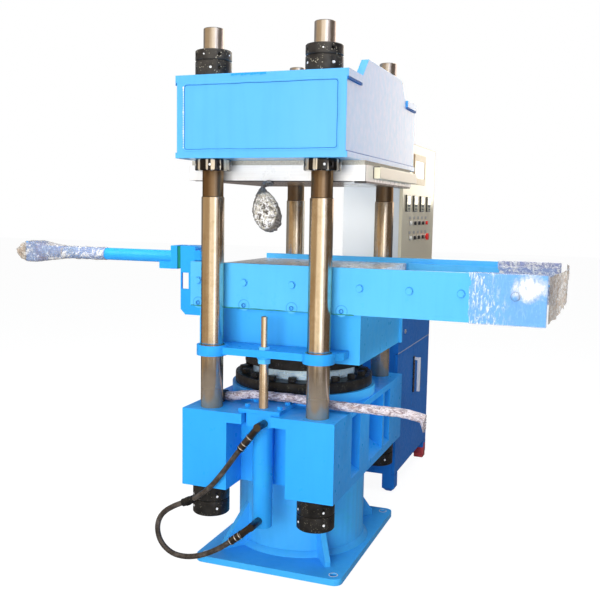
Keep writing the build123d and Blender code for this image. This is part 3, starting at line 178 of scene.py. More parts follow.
class Shader(Nodes):
    """One material, with short names for the nodes that the finishes share."""

    def __init__(self, name):
        self.material = bpy.data.materials.new(name)
        super().__init__(self.material)
        coordinates = self.node("TexCoord")
        self.place = coordinates.outputs["Object"]
        self.facing = coordinates.outputs["Normal"]

    def stretch(self, scale, turn=(0.0, 0.0, 0.0), shift=(0.0, 0.0, 0.0)):
        """Object coordinates scaled by one factor for each axis, turned and moved."""
        inputs = {"Vector": self.place, "Scale": scale, "Rotation": turn, "Location": shift}
        return self.node("Mapping", inputs).outputs["Vector"]

    def noise(self, scale, detail=3.0, roughness=0.5, place=None, distortion=0.0):
        inputs = {"Vector": place or self.place, "Scale": scale, "Detail": detail, "Roughness": roughness,
                  "Distortion": distortion}
        return self.node("TexNoise", inputs).outputs["Fac"]

    def cells(self, scale, feature="F1"):
        inputs = {"Vector": self.place, "Scale": scale}
        return self.node("TexVoronoi", inputs, feature=feature).outputs["Distance"]

    def span(self, source, low, high, start=0.0, end=1.0):
        """Values from low to high become values from start to end."""
        inputs = {"Value": source, "From Min": low, "From Max": high, "To Min": start, "To Max": end}
        return self.node("MapRange", inputs).outputs["Result"]

    def add(self, first, second):
        return self.maths("ADD", first, second)

    def times(self, first, second):
        return self.maths("MULTIPLY", first, second)

    def off(self, source, middle, reach):
        """How far a value is from the middle, in units of the reach."""
        return self.maths("DIVIDE", self.maths("SUBTRACT", source, middle), reach)

    def blend(self, factor, first, second):
        """One colour turning into another as the factor goes from 0 to 1."""
        made = self.node("Mix", {"Factor": factor}, data_type="RGBA")
        colours = [socket for socket in made.inputs if socket.type == "RGBA"]
        for socket, value in zip(colours, (first, second)):
            self.feed(socket, value)
        return next(socket for socket in made.outputs if socket.type == "RGBA")

    def part(self, vector, axis):
        """The X, Y or Z of a vector."""
        return self.node("SeparateXYZ", {"Vector": vector}).outputs[axis]

    def uneven(self, marks, middle, less, more):
        """A roughness that the marks lower and raise."""
        return self.span(marks, 0.3, 0.7, middle - less, middle + more)

    def finish(self, colour, relief, strength, depth, **values):
        """Sets colour, bump and other sockets, such as Coat_Weight=0.4, and gives the material."""
        bump = self.node("Bump", {"Height": relief, "Strength": strength, "Distance": depth})
        values |= {"Base_Color": colour, "Normal": bump.outputs["Normal"]}
        surface = self.tree.nodes["Principled BSDF"]
        for key, value in values.items():
            self.feed(surface.inputs[key.replace("_", " ")], value)
        return self.material


def enamel(name, light, dark, gloss=0.30, coat=0.06, coat_ior=1.5, level=0.15, coat_gloss=0.12, stain=0.0):
    """Brushed and sprayed machine enamel: faint mottling, runs, green stains and orange peel."""
    shader = Shader(name)
    mottle = shader.span(shader.noise(2.4, detail=5.0, roughness=0.6), 0.30, 0.72)
    runs = shader.span(shader.noise(9.0, detail=4.0, place=shader.stretch((3.2, 3.2, 0.35))), 0.46, 0.72)
    worn = tuple(0.88 * value for value in dark)
    painted = shader.blend(shader.times(runs, 0.30), shader.blend(mottle, light, dark), worn)
    patches = shader.span(shader.noise(3.1, detail=4.0, roughness=0.6), 0.60, 0.74)
    colour = shader.blend(shader.times(patches, stain), painted, (0.02, 0.50, 0.56))
    peel = shader.add(shader.noise(130.0, detail=2.0), shader.times(shader.noise(14.0), 2.2))
    return shader.finish(colour, peel, 0.10, 0.0012, Specular_IOR_Level=level,
                         Roughness=shader.uneven(shader.noise(26.0, detail=4.0), gloss, 0.04, 0.12),
                         Coat_Weight=coat, Coat_Roughness=coat_gloss, Coat_IOR=coat_ior)


def column_chrome(name):
    """Ground chrome under a film of brown oil, darker, browner and less metallic towards its foot, with a
    thread and a turned grey stub.
    """
    shader = Shader(name)
    drawn = shader.noise(22.0, detail=5.0, place=shader.stretch((2.0, 2.0, 0.16)))
    stains = shader.span(shader.noise(5.0, detail=6.0, roughness=0.7), 0.50, 0.76)
    bright = shader.blend(shader.span(drawn, 0.35, 0.65), (0.90, 0.83, 0.72), (0.76, 0.68, 0.56))
    oiled = shader.blend(stains, bright, (0.60, 0.48, 0.34))
    height = shader.part(shader.place, "Z")
    thread = shader.span(height, thread_low - 0.0005, thread_low + 0.0005)
    stub = shader.span(height, stub_low - 0.0005, stub_low + 0.0005)
    threaded = shader.blend(thread, oiled, (0.30, 0.215, 0.14))
    rings = shader.noise(8.0, place=shader.stretch((1.0, 1.0, 12.0)))
    grey = shader.blend(rings, (0.74, 0.73, 0.74), (0.92, 0.91, 0.92))
    # Darker, browner and less metallic towards the foot
    foot = shader.span(height, 0.95, 0.80)
    darker_foot = shader.blend(shader.times(foot, 0.75), threaded, (0.38, 0.28, 0.18))
    ridges = shader.node("TexWave", {"Vector": shader.place, "Scale": 60.0}, bands_direction="Z")
    thread_only = shader.times(thread, shader.maths("SUBTRACT", 1.0, shader.times(stub, 0.85)))
    relief = shader.add(shader.times(ridges.outputs["Fac"], thread_only), shader.times(drawn, 0.02))
    worn = shader.span(shader.noise(30.0, detail=4.0), 0.3, 0.7, 0.17, 0.27)
    return shader.finish(shader.blend(stub, darker_foot, grey), relief, 0.55, 0.0010,
                         Metallic=shader.span(foot, 0.0, 1.0, 1.0, 0.62),
                         Roughness=shader.add(worn, shader.times(thread, 0.12)),
                         Specular_Tint=(0.55, 0.45, 0.34))


def black_oxide(name, flecks=0.5, gloss=0.40, level=0.35, tone=0.018):
    """Oiled black steel with pale grit and bright scratches."""
    shader = Shader(name)
    cloud = shader.span(shader.noise(18.0, detail=5.0), 0.3, 0.7)
    dark = (0.35 * tone, 0.35 * tone, 0.38 * tone)
    ground = shader.blend(cloud, dark, (1.6 * tone, 1.5 * tone, 1.4 * tone))
    grit = shader.span(shader.cells(125.0), 0.24, 0.14)
    patch = shader.span(shader.noise(24.0), 0.47, 0.56)
    shown = shader.times(shader.times(grit, patch), flecks)
    colour = shader.blend(shown, ground, (0.86, 0.80, 0.62))
    return shader.finish(colour, shader.noise(120.0, detail=4.0), 0.22, 0.0010,
                         Roughness=shader.uneven(shader.noise(40.0), gloss, 0.1, 0.1),
                         Specular_IOR_Level=level, Coat_Weight=0.12, Coat_Roughness=0.22)


def streaked_black(name):
    """Glossy turned black steel that shows pale streaks of oil and light along its height."""
    shader = Shader(name)
    streaks = shader.span(shader.noise(7.5, detail=2.0, place=shader.stretch((7.0, 7.0, 0.25))), 0.52, 0.57)
    colour = shader.blend(streaks, (0.012, 0.011, 0.011), (0.80, 0.74, 0.62))
    return shader.finish(colour, shader.noise(90.0, detail=4.0), 0.2, 0.0010,
                         Roughness=0.22, Metallic=0.55, Coat_Weight=0.3, Coat_Roughness=0.1)


def ground_steel(name, light, dark, rust, metallic=0.75, coat=0.0, under=None):
    """Ground plate with a drawn grain and thin rust bloom, and a dark underside colour of painted shade if
    one is given.
    """
    shader = Shader(name)
    grain = shader.span(shader.noise(60.0, detail=4.0, place=shader.stretch((0.10, 3.0, 3.0))), 0.35, 0.65)
    bloom = shader.span(shader.noise(6.0, detail=7.0, roughness=0.68), 0.50, 0.74)
    colour = shader.blend(shader.times(bloom, rust), shader.blend(grain, light, dark), (0.33, 0.19, 0.10))
    if under:
        # Faces that look down take the underside colour as painted shade
        downward = shader.span(shader.part(shader.facing, "Z"), -0.5, -0.9)
        colour = shader.blend(downward, colour, under)
    return shader.finish(colour, grain, 0.12, 0.0006, Metallic=metallic,
                         Roughness=shader.span(bloom, 0.0, 1.0, 0.27, 0.52),
                         Coat_Weight=coat, Coat_Roughness=0.2, Coat_IOR=1.6)


def fibre_board(name):
    """Pressed mineral board with dark fibres and crushed edges."""
    shader = Shader(name)
    fibres = shader.span(shader.noise(170.0, detail=4.0), 0.35, 0.66)
    colour = shader.blend(fibres, (0.66, 0.63, 0.55), (0.44, 0.40, 0.33))
    return shader.finish(colour, fibres, 0.5, 0.001, Roughness=0.88)


def powder_coat(name, light, dark, level=0.3, coat=0.0, coat_ior=1.5):
    """Fine textured powder coat with a slight shade drift over the sheet."""
    shader = Shader(name)
    fade = shader.span(shader.noise(1.7), 0.3, 0.7)
    return shader.finish(shader.blend(fade, light, dark), shader.noise(420.0, detail=2.0), 0.10, 0.0005,
                         Roughness=shader.uneven(shader.noise(48.0), 0.40, 0.05, 0.08),
                         Coat_Weight=coat, Coat_Roughness=0.3, Coat_IOR=coat_ior, Specular_IOR_Level=level)


def moulded(name, colour, gloss=0.32, coat=0.2):
    """Moulded plastic or rubber with a fine grain and a little shade change."""
    shader = Shader(name)
    paler = tuple(min(1.0, 1.22 * value + 0.006) for value in colour)
    shade = shader.blend(shader.noise(30.0, detail=4.0), colour, paler)
    return shader.finish(shade, shader.noise(260.0, detail=2.0), 0.12, 0.0006,
                         Roughness=shader.uneven(shader.noise(55.0), gloss, 0.06, 0.1),
                         Coat_Weight=coat, Coat_Roughness=0.1)


def bright_metal(name, colour, gloss=0.14):
    """Plated or turned metal with faint handling marks."""
    shader = Shader(name)
    marks = shader.noise(40.0, detail=5.0, roughness=0.65)
    duller = tuple(0.78 * value for value in colour)
    shade = shader.blend(shader.span(marks, 0.35, 0.7), colour, duller)
    return shader.finish(shade, marks, 0.08, 0.0005, Metallic=1.0,
                         Roughness=shader.uneven(marks, gloss, 0.04, 0.1))


def worn_hose(name):
    """Dark hose rubber with dust, scuffs and a fabric print in its cover."""
    shader = Shader(name)
    scuffs = shader.span(shader.noise(36.0, detail=6.0, roughness=0.7), 0.45, 0.72)
    colour = shader.blend(scuffs, (0.036, 0.029, 0.025), (0.135, 0.115, 0.100))
    weave = shader.add(shader.noise(420.0, detail=2.0), shader.times(scuffs, 0.8))
    return shader.finish(colour, weave, 0.45, 0.0008, Roughness=shader.span(scuffs, 0.0, 1.0, 0.42, 0.68),
                         Specular_IOR_Level=0.5, Coat_Weight=0.1, Coat_Roughness=0.3)


def packing_film(name, tint, shade, cover, scale, glare=(0.26, 0.44)):
    """Crumpled clear stretch film: sharp creases, white glints and more or less see-through patches."""
    shader = Shader(name)
    folds = shader.noise(scale, detail=8.0, roughness=0.72, distortion=1.4)
    creases = shader.cells(scale * 2.4, feature="DISTANCE_TO_EDGE")
    fine = shader.noise(scale * 6.0, detail=5.0, roughness=0.7, distortion=0.8)
    glints = shader.span(shader.times(fine, shader.span(folds, 0.42, 0.62)), *glare)
    # The hollows of the folds take the shade colour and the crests the glints: painted shade and painted
    # highlights
    ground = shader.blend(shader.span(folds, 0.44, 0.56), shade, tint)
    relief = shader.add(shader.times(folds, 2.0), shader.add(shader.times(creases, -1.2), fine))
    return shader.finish(shader.blend(glints, ground, (0.97, 0.97, 0.98)), relief, 0.9, 0.006,
                         Alpha=shader.span(glints, 0.0, 1.0, *cover), Roughness=0.2, Specular_IOR_Level=0.5,
                         Coat_Weight=0.3, Coat_Roughness=0.08, IOR=1.48)


def stretched_film(name):
    """Film pulled tight over a rail: sparkling wraps at its start, a broad glare near the end."""
    shader = Shader(name)
    along = shader.part(shader.place, "X")
    height = shader.part(shader.place, "Z")
    slanted = shader.stretch((1.0, 1.0, 0.28), turn=(0.0, math.radians(38), 0.0))
    strands = shader.noise(95.0, detail=6.0, roughness=0.7, place=slanted, distortion=0.7)
    start = shader.span(along, rail_film_start + 0.16, rail_film_start + 0.02)
    glare_x = shader.off(along, rail_film_start + 0.235, 0.085)
    glare_z = shader.off(height, 1.352, 0.065)
    square = shader.add(shader.times(glare_x, glare_x), shader.times(glare_z, glare_z))
    cloud = shader.times(shader.noise(26.0, detail=6.0, roughness=0.8), 2.0)
    soft = shader.add(cloud, shader.times(strands, 1.6))
    glare = shader.span(shader.add(square, soft), 2.75, 1.9)
    wound = shader.span(shader.add(start, shader.noise(8.0)), 0.5, 1.1, 0.10, 0.95)
    wraps = shader.times(shader.span(strands, 0.50, 0.60), wound)
    white = shader.maths("MAXIMUM", wraps, glare)
    relief = shader.add(strands, shader.noise(22.0, detail=6.0, distortion=1.0))
    return shader.finish(shader.blend(white, (0.36, 0.60, 0.95), (0.98, 0.98, 1.0)), relief, 0.8, 0.004,
                         Alpha=shader.span(white, 0.0, 1.0, 0.38, 0.97), Roughness=0.22,
                         Specular_IOR_Level=0.4, Coat_Weight=0.2, Coat_Roughness=0.1, IOR=1.48)


def foil_wrap(name, light, dark, warm, scale=70.0):
    """Opaque crumpled wrapping over a line, silvery, with painted shade in the hollows of its folds and warm
    patches.
    """
    shader = Shader(name)
    drawn = shader.stretch((0.4, 1.0, 1.0))
    folds = shader.noise(scale, detail=7.0, roughness=0.75, distortion=1.2, place=drawn)
    edges = shader.cells(scale * 1.6, feature="DISTANCE_TO_EDGE")
    # The hollows of the folds take the dark colour as painted shade
    base = shader.blend(shader.span(folds, 0.43, 0.55), dark, light)
    patches = shader.span(shader.noise(scale * 0.7, detail=5.0), 0.5, 0.7)
    relief = shader.add(shader.times(folds, 1.6), shader.times(edges, -1.0))
    return shader.finish(shader.blend(shader.times(patches, 0.40), base, warm), relief, 0.8, 0.003,
                         Roughness=shader.span(folds, 0.3, 0.7, 0.18, 0.42),
                         Specular_IOR_Level=0.6, Coat_Weight=0.35, Coat_Roughness=0.1)


def hank_film(name):
    """Grey, ochre and green leads under crumpled film, with painted highlights on its crests, darkest round
    the rim of the hank.
    """
    shader = Shader(name)
    folds = shader.noise(62.0, detail=7.0, roughness=0.75, distortion=1.5)
    loops = shader.noise(30.0, distortion=2.5)
    leads = shader.blend(shader.span(loops, 0.42, 0.58), (0.10, 0.09, 0.08), (0.60, 0.56, 0.46))
    green = shader.span(shader.noise(38.0, detail=2.0), 0.56, 0.66)
    tinted = shader.blend(shader.times(green, 0.6), leads, (0.22, 0.26, 0.24))
    # The crests of the folds turn white as painted highlights
    mixed = shader.blend(shader.span(folds, 0.48, 0.56), tinted, (0.96, 0.95, 0.97))
    centred = shader.stretch((1 / hank_rim_x, 0.0, 1 / hank_rim_z),
                             shift=(-hank_centre.x / hank_rim_x, 0.0, -hank_centre.z / hank_rim_z))
    reach = shader.node("VectorMath", {0: centred}, operation="LENGTH").outputs["Value"]
    rim = shader.span(shader.add(reach, shader.times(folds, 0.3)), 0.98, 1.10, 0.0, 0.88)
    colour = shader.blend(rim, mixed, (0.05, 0.045, 0.045))
    return shader.finish(colour, shader.add(folds, shader.times(loops, 0.6)), 0.9, 0.004,
                         Roughness=shader.span(folds, 0.3, 0.7, 0.16, 0.4),
                         Specular_IOR_Level=0.6, Coat_Weight=0.4, Coat_Roughness=0.08)


def glass_face(name, colour, glow):
    """A glossy window of a screen or a controller."""
    shader = Shader(name)
    darker = tuple(0.8 * value for value in colour)
    shade = shader.blend(shader.span(shader.noise(9.0, detail=2.0), 0.3, 0.7), colour, darker)
    return shader.finish(shade, shader.noise(3.0), 0.02, 0.001, Roughness=0.06, Coat_Weight=1.0,
                         Coat_Roughness=0.02, Emission_Strength=glow, Emission_Color=colour)


# Heights along the columns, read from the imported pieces
thread_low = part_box("under_nuts")[0].z - 0.113
stub_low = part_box("upper_nuts")[1].z

sky_blue = ((0.034, 0.395, 0.96), (0.026, 0.36, 0.92))
pale_blue = ((0.110, 0.50, 0.97), (0.094, 0.46, 0.95))
finishes = {
    "enamel": enamel("blue_enamel", *sky_blue, stain=0.30),
    "head": enamel("crosshead_enamel", *pale_blue, gloss=0.34, coat=1.0, coat_ior=1.65, coat_gloss=0.24),
    # The base takes a brighter copy of the blue: painted light against the shadow it stands in
    "base": enamel("base_enamel_lit_copy", (0.070, 0.50, 1.0), (0.055, 0.46, 0.98), gloss=0.32, level=0.25,
                   stain=0.45),
    "rail": enamel("rail_enamel", (0.115, 0.54, 0.98), (0.098, 0.50, 0.95)),
    # The block takes a brighter copy of the blue: painted light against the shade under the rails
    "block": enamel("block_enamel_lit_copy", (0.070, 0.50, 0.98), (0.058, 0.46, 0.95), stain=0.15),
    # A darker copy of the blue: painted shade round the rail bolts and round screws
    "painted_ring_shade": enamel("painted_ring_shade", (0.050, 0.34, 0.84), (0.040, 0.30, 0.78)),
    "chrome": column_chrome("column_chrome"),
    "black": black_oxide("black_oxide", flecks=1.0, level=0.3, tone=0.034),
    "gloss_black": streaked_black("gloss_black"),
    "oil_black": black_oxide("oiled_black", flecks=0.2, level=0.2),
    "platen": ground_steel("platen_steel", (0.95, 0.95, 0.97), (0.78, 0.78, 0.80), 0.45, metallic=0.2),
    "clean_platen": ground_steel("upper_platen_steel", (0.97, 0.97, 0.96), (0.92, 0.91, 0.90), 0.04,
                                 metallic=0.05, coat=1.0, under=(0.17, 0.12, 0.09)),
    # The ram's pale blue is a painted reflection of the blue frame round it
    "ram": ground_steel("ram_chrome", (0.72, 0.88, 0.98), (0.45, 0.70, 0.92), 0.05, metallic=0.3),
    "board": fibre_board("insulation_board"),
    "cover": powder_coat("terminal_cover_cream", (0.99, 0.94, 0.72), (0.97, 0.91, 0.68), coat=1.0,
                         coat_ior=1.7),
    "rubber": moulded("seal_rubber", (0.02, 0.02, 0.02), gloss=0.6, coat=0.0),
    "bronze": bright_metal("bush_bronze", (0.66, 0.44, 0.20), 0.25),
    "zinc": bright_metal("fitting_zinc", (0.16, 0.15, 0.145), 0.32),
    "green": enamel("spacer_green", (0.010, 0.20, 0.17), (0.015, 0.26, 0.20), gloss=0.4, coat=0.1),
    "cabinet_blue": powder_coat("cabinet_blue", (0.018, 0.205, 0.70), (0.015, 0.180, 0.63), level=0.12),
    "cabinet_white": powder_coat("cabinet_pale", (0.95, 0.96, 0.95), (0.90, 0.92, 0.91), level=0.2),
    "door_beige": powder_coat("door_beige", (0.92, 0.82, 0.58), (0.84, 0.74, 0.53), coat=1.0, coat_ior=1.7),
    "bezel": moulded("bezel_black", (0.018, 0.018, 0.022), gloss=0.28),
    "beige_plastic": moulded("screen_frame_beige", (0.60, 0.43, 0.26), gloss=0.35),
    "chrome_trim": bright_metal("bright_chrome", (0.95, 0.95, 0.95), 0.3),
    "lever_white": moulded("lever_white", (0.97, 0.97, 0.97), gloss=0.2, coat=1.0),
    "legend": bright_metal("legend_plate", (0.72, 0.72, 0.70), 0.3),
    "cap_white": moulded("cap_white", (0.80, 0.80, 0.76)),
    "cap_black": moulded("cap_black", (0.02, 0.02, 0.024)),
    "cap_red": moulded("cap_red", (0.85, 0.02, 0.015)),
    "hose": worn_hose("hose_rubber"),
    "clear_film": stretched_film("clear_film"),
    "milky_film": packing_film("milky_film", (0.80, 0.81, 0.97), (0.52, 0.56, 0.88), (0.60, 0.98), 44.0,
                               glare=(0.20, 0.34)),
    "tan_film": packing_film("tan_film", (1.0, 0.93, 0.84), (0.70, 0.56, 0.44), (0.86, 0.99), 30.0,
                             glare=(0.24, 0.38)),
    "tube_film": packing_film("tube_film", (0.82, 0.79, 0.77), (0.58, 0.48, 0.42), (0.50, 0.95), 22.0),
    "tail_film": packing_film("tail_film", (0.96, 0.90, 0.80), (0.66, 0.54, 0.44), (0.94, 0.99), 26.0),
    "line_wrap": foil_wrap("line_wrap", (0.88, 0.82, 0.87), (0.30, 0.22, 0.24), (0.72, 0.54, 0.50)),
    "hank_wrap": hank_film("hank_wrap"),
    "screen": glass_face("screen_glass", (0.86, 0.85, 0.82), 0.35),
    # The controller faces glow a little: painted light, as they are no lamps
    "meter": glass_face("controller_glass", (0.62, 0.60, 0.42), 0.12),
    "window": glass_face("display_window", (0.02, 0.03, 0.02), 0.0),
    "green_seal": moulded("green_sealant", (0.02, 0.24, 0.20), gloss=0.5),
    "red_wedge": moulded("red_wedge", (0.50, 0.05, 0.06), gloss=0.5),
    # A dark copy of the blue: painted shade for weld edges, screw sockets and the strips under the roof lips
    "painted_shade": enamel("painted_shade_blue", (0.020, 0.19, 0.60), (0.015, 0.15, 0.52), gloss=0.5, coat=0.0),
    # White of painted highlights: weld spots, the pins in the nuts and the anchor rims
    "glint": moulded("painted_highlight_white", (0.95, 0.97, 1.0), gloss=0.3),
}

finished_nodes = {
    "base": ["cylinder_barrel"],
    "enamel": ["lower_beam", "lift_cylinders", "lift_bolts", "yokes", "pusher_bracket", "pusher_cylinder",
               "pusher_head"],
    "head": ["crosshead"],
    "block": ["moving_block"],
    "rail": ["front_rail", "rear_rail", "rail_fasteners", "lift_rod_nuts"],
    "green": ["pusher_spacer"],
    "chrome": ["columns", "lift_rods", "pusher_rod"],
    "ram": ["ram"],
    "black": ["upper_nuts"],
    "gloss_black": ["under_nuts"],
    "oil_black": ["gland_ring", "gland_bolts", "lower_nuts", "ram_flange"],
    "platen": ["table_plate", "lower_platen"],
    "clean_platen": ["upper_platen"],
    "board": ["upper_insulation", "lower_insulation"],
    "cover": ["terminal_cover"],
    "rubber": ["ram_seal"],
    "bronze": ["yoke_bushes"],
    "zinc": ["hose_fittings"],
    "hose": ["pressure_hose"],
    "line_wrap": ["wrapped_line"],
    "hank_wrap": ["cable_bundle"],
    "clear_film": ["protective_film"],
    "cabinet_blue": ["cabinet_lower", "near_door", "far_door"],
    "cabinet_white": ["cabinet_upper"],
    "door_beige": ["upper_door"],
    "beige_plastic": ["operator_screen"],
    "bezel": ["temperature_controllers", "handle_base"],
    "chrome_trim": ["button_collars", "panel_lock"],
    "legend": ["legend_plates"],
    "lever_white": ["door_handle"],
    "cap_white": ["push_button_1", "push_button_6"],
    "cap_black": [f"push_button_{number}" for number in (2, 3, 4, 7, 8, 9)],
    "cap_red": ["push_button_5", "stop_button"],
}


def finish_nodes():
    """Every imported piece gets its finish, and small rounded edges that catch the light."""
    finish_of = {name: finish for finish, names in finished_nodes.items() for name in names}
    for name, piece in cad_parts.items():
        piece.data.materials.clear()
        piece.data.materials.append(finishes[finish_of[name]])
        weld = piece.modifiers.new("weld", "WELD")
        weld.merge_threshold = weld_gap
        rounding = piece.modifiers.new("edges", "BEVEL")
        rounding.width = edge_round
        rounding.segments = 2
        rounding.limit_method = "ANGLE"
        rounding.angle_limit = edge_angle
        rounding.harden_normals = True


def mesh_data(name, mesh):
    """Mesh data from a bmesh, which is freed."""
    data = bpy.data.meshes.new(name)
    mesh.normal_update()
    mesh.to_mesh(data)
    mesh.free()
    return data


def show(name, data):
    """A new object in the scene."""
    made = bpy.data.objects.new(name, data)
    bpy.context.scene.collection.objects.link(made)
    return made


def carried(name, data, body, finish):
    """An object for a mesh or a curve, with its finish, which rides on one body."""
    data.materials.append(finishes[finish])
    piece = show(name, data)
    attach(piece, body)
    return piece


def add_piece(name, mesh, body, finish, smooth=True):
    """A new piece from a bmesh."""
    data = mesh_data(name, mesh)
    for polygon in data.polygons:
        polygon.use_smooth = smooth
    return carried(name, data, body, finish)


def add_film(name, mesh, finish, body="moving_platen"):
    """A piece of packing film."""
    return add_piece(name, mesh, body, finish)


def route_curve(name, points, steps):
    """A smooth open curve with the given control points."""
    curve = bpy.data.curves.new(name, "CURVE")
    curve.dimensions = "3D"
    curve.resolution_u = steps
    spline = curve.splines.new("NURBS")
    spline.points.add(len(points) - 1)
    for target, point in zip(spline.points, points):
        target.co = (*point, 1.0)
    spline.order_u = 3
    spline.use_endpoint_u = True
    return curve


def centre_line(points):
    """Points along the smooth curve of a route, read from a curve with no thickness."""
    carrier = bpy.data.objects.new("route", route_curve("route", points, 12))
    mesh = bpy.data.meshes.new_from_object(carrier)
    line = [vertex.co.copy() for vertex in mesh.vertices]
    bpy.data.objects.remove(carrier)
    return line


def join_rows(mesh, rows, above=-1.0):
    """Quads between each row of points and the next one, left out where they reach below a height."""
    for row, following in zip(rows, rows[1:]):
        if min(vertex.co.z for vertex in row + following) > above:
            for first in range(len(row) - 1):
                mesh.faces.new((row[first], row[first + 1], following[first + 1], following[first]))


def tube_mesh(line, radius_at, sides):
    """A closed tube round a line of points, with its own radius at each step and side."""
    mesh = bmesh.new()
    rings = []
    for index, centre in enumerate(line):
        along = (line[min(index + 1, len(line) - 1)] - line[max(index - 1, 0)]).normalized()
        across = along.cross(Vector((0, 0, 1))).normalized()
        upward = across.cross(along).normalized()
        ring = []
        for side in range(sides):
            angle = 2 * math.pi * side / sides
            direction = across * math.cos(angle) + upward * math.sin(angle)
            ring.append(mesh.verts.new(centre + direction * radius_at(index, angle, centre)))
        rings.append(ring)
    join_rows(mesh, [ring + ring[:1] for ring in rings])
    mesh.faces.new(list(reversed(rings[0])))
    mesh.faces.new(rings[-1])
    return mesh


def grid_sheet(columns, rows, place):
    """A sheet of quads whose points come from place(u, v), both from 0 to 1."""
    mesh = bmesh.new()
    join_rows(mesh, [[mesh.verts.new(place(column / columns, row / rows)) for column in range(columns + 1)]
                     for row in range(rows + 1)])
    return mesh


def add_rings(mesh, place_at, profile, turns, above=-1.0):
    """A low raised ring. The profile has reaches and rises; place_at turns them into a point."""
    rows = []
    for turn in range(turns):
        angle = 2 * math.pi * turn / turns
        rows.append([mesh.verts.new(place_at(reach * math.cos(angle), reach * math.sin(angle), rise))
                     for reach, rise in profile])
    join_rows(mesh, rows + rows[:1], above)


def add_block(mesh, centre, size):
    """A small plain bar in a mesh."""
    place = Matrix.Translation(centre) @ Matrix.Diagonal((*size, 1.0))
    bmesh.ops.create_cube(mesh, size=1.0, matrix=place)


def ease_edges(mesh, offset, segments):
    bmesh.ops.bevel(mesh, geom=mesh.edges[:], offset=offset, segments=segments, affect="EDGES")


def add_boxes(name, boxes, body, finish):
    """Small plain bars, given by their low and high corners."""
    mesh = bmesh.new()
    for low, high in boxes:
        add_block(mesh, (Vector(low) + Vector(high)) / 2, Vector(high) - Vector(low))
    ease_edges(mesh, 0.0004, 1)
    return add_piece(name, mesh, body, finish, smooth=False)


def drift(x, y, z):
    """Smooth noise at a place, from -1 to 1."""
    return noise.noise(Vector((x, y, z)))


def folded(place, octaves=3):
    """Sharp noise at a place, as the folds of crumpled film."""
    dimension, lacunarity, offset, gain = 0.9, 2.1, 1.0, 2.0
    return noise.ridged_multi_fractal(place, dimension, lacunarity, octaves, offset, gain)


def crumple(mesh, amount, scale, seed):
    """Moves every vertex along its normal by sharp folded noise."""
    mesh.normal_update()
    offset = Vector((seed, 2.3 * seed, 0.7 * seed))
    moves = [vertex.normal * amount * (folded(vertex.co * scale + offset, 4) - 1.0) for vertex in mesh.verts]
    for vertex, move in zip(mesh.verts, moves):
        vertex.co += move


def pressure_hose():
    """The hydraulic hose of the front lift cylinder, with its crimped ends and its joint."""
    points = [(x, hose_plane, z) for x, z in hose_route]
    curve = route_curve("pressure_hose_line", points, 16)
    curve.bevel_depth = hose_dia / 2
    curve.bevel_resolution = 6
    curve.use_fill_caps = True
    hose = carried("pressure_hose_line", curve, "press_frame", "hose")
    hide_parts("pressure_hose")
    line = centre_line(points)
    collar = hose_dia * 0.72
    groove = 0.0012
    for crimp, place in ((line[:7], "upper"), (line[-7:], "lower")):
        mesh = tube_mesh(crimp, lambda index, angle, centre: collar - groove * (index % 2), 20)
        add_piece(f"hose_crimp_{place}", mesh, "press_frame", "zinc")
        for number, index in enumerate((0, 3, 5), 1):
            ends = [crimp[index], crimp[index].lerp(crimp[index + 1], 0.30)]
            ring = tube_mesh(ends, lambda index, angle, centre: collar + groove, 24)
            name = f"hose_band_{place}_{number}"
            add_piece(name, ring, "press_frame", "chrome_trim")

    def six_sided(index, angle, centre):
        nut_rise = 0.0035 if 2 < index < 6 else 0.0
        return collar + nut_rise * (0.6 + 0.4 * math.cos(6 * angle))

    joint_at = min(range(len(line)), key=lambda index: (line[index] - hose_joint).length)
    mesh = tube_mesh(line[joint_at - 4:joint_at + 5], six_sided, 24)
    add_piece("hose_joint", mesh, "press_frame", "oil_black", smooth=False)


def wrapped_line():
    """The line wound with crumpled film on the lower beam, frayed open at its free end."""
    line = centre_line(wrapped_route)
    fine = []
    for before, after in zip(line, line[1:]):
        fine += [before, before.lerp(after, 0.5)]
    fine.append(line[-1])

    def wrinkled(index, angle, centre):
        around = Vector((math.cos(angle), math.sin(angle), index * 0.13))
        folds = folded(around * 1.7) - 1.0
        spiral = math.sin(3 * angle + index * 0.35)
        return wrapped_dia / 2 * (0.94 + 0.075 * folds + 0.02 * spiral)

    wrap = add_film("wrapped_line_film", tube_mesh(fine, wrinkled, 40), "line_wrap", "press_frame")
    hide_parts("wrapped_line")
    frayed = add_piece("wrapped_line_fray", frayed_end(fine[-1]), "press_frame", "line_wrap",
                       smooth=False)


def frayed_end(tip):
    """Ragged strips of film that spread and droop from the end of the wrapped line."""
    mesh = bmesh.new()
    strands = 22
    steps = 7
    for strand in range(strands):
        angle = 2 * math.pi * strand / strands
        lean = 0.6 + 0.4 * drift(strand * 1.7, 0.3, 0.1)
        root = tip + Vector((-0.018, math.cos(angle) * 0.016, math.sin(angle) * 0.016))
        droop = 0.032 * lean
        end = root + Vector((0.010 + 0.012 * lean, math.cos(angle) * 0.022, math.sin(angle) * 0.018 - droop))
        width = Vector((0.0, -math.sin(angle), math.cos(angle))) * 0.005
        pairs = []
        for step in range(steps + 1):
            share = step / steps
            centre = root.lerp(end, share) + Vector((0, 0, -0.006 * share ** 2))
            wobble = noise.noise(centre * 160.0 + Vector((strand, 0, 0))) * 0.004
            pairs.append([mesh.verts.new(centre - width + Vector((wobble, 0, wobble))),
                          mesh.verts.new(centre + width + Vector((-wobble, wobble, 0)))])
        join_rows(mesh, pairs)
    return mesh


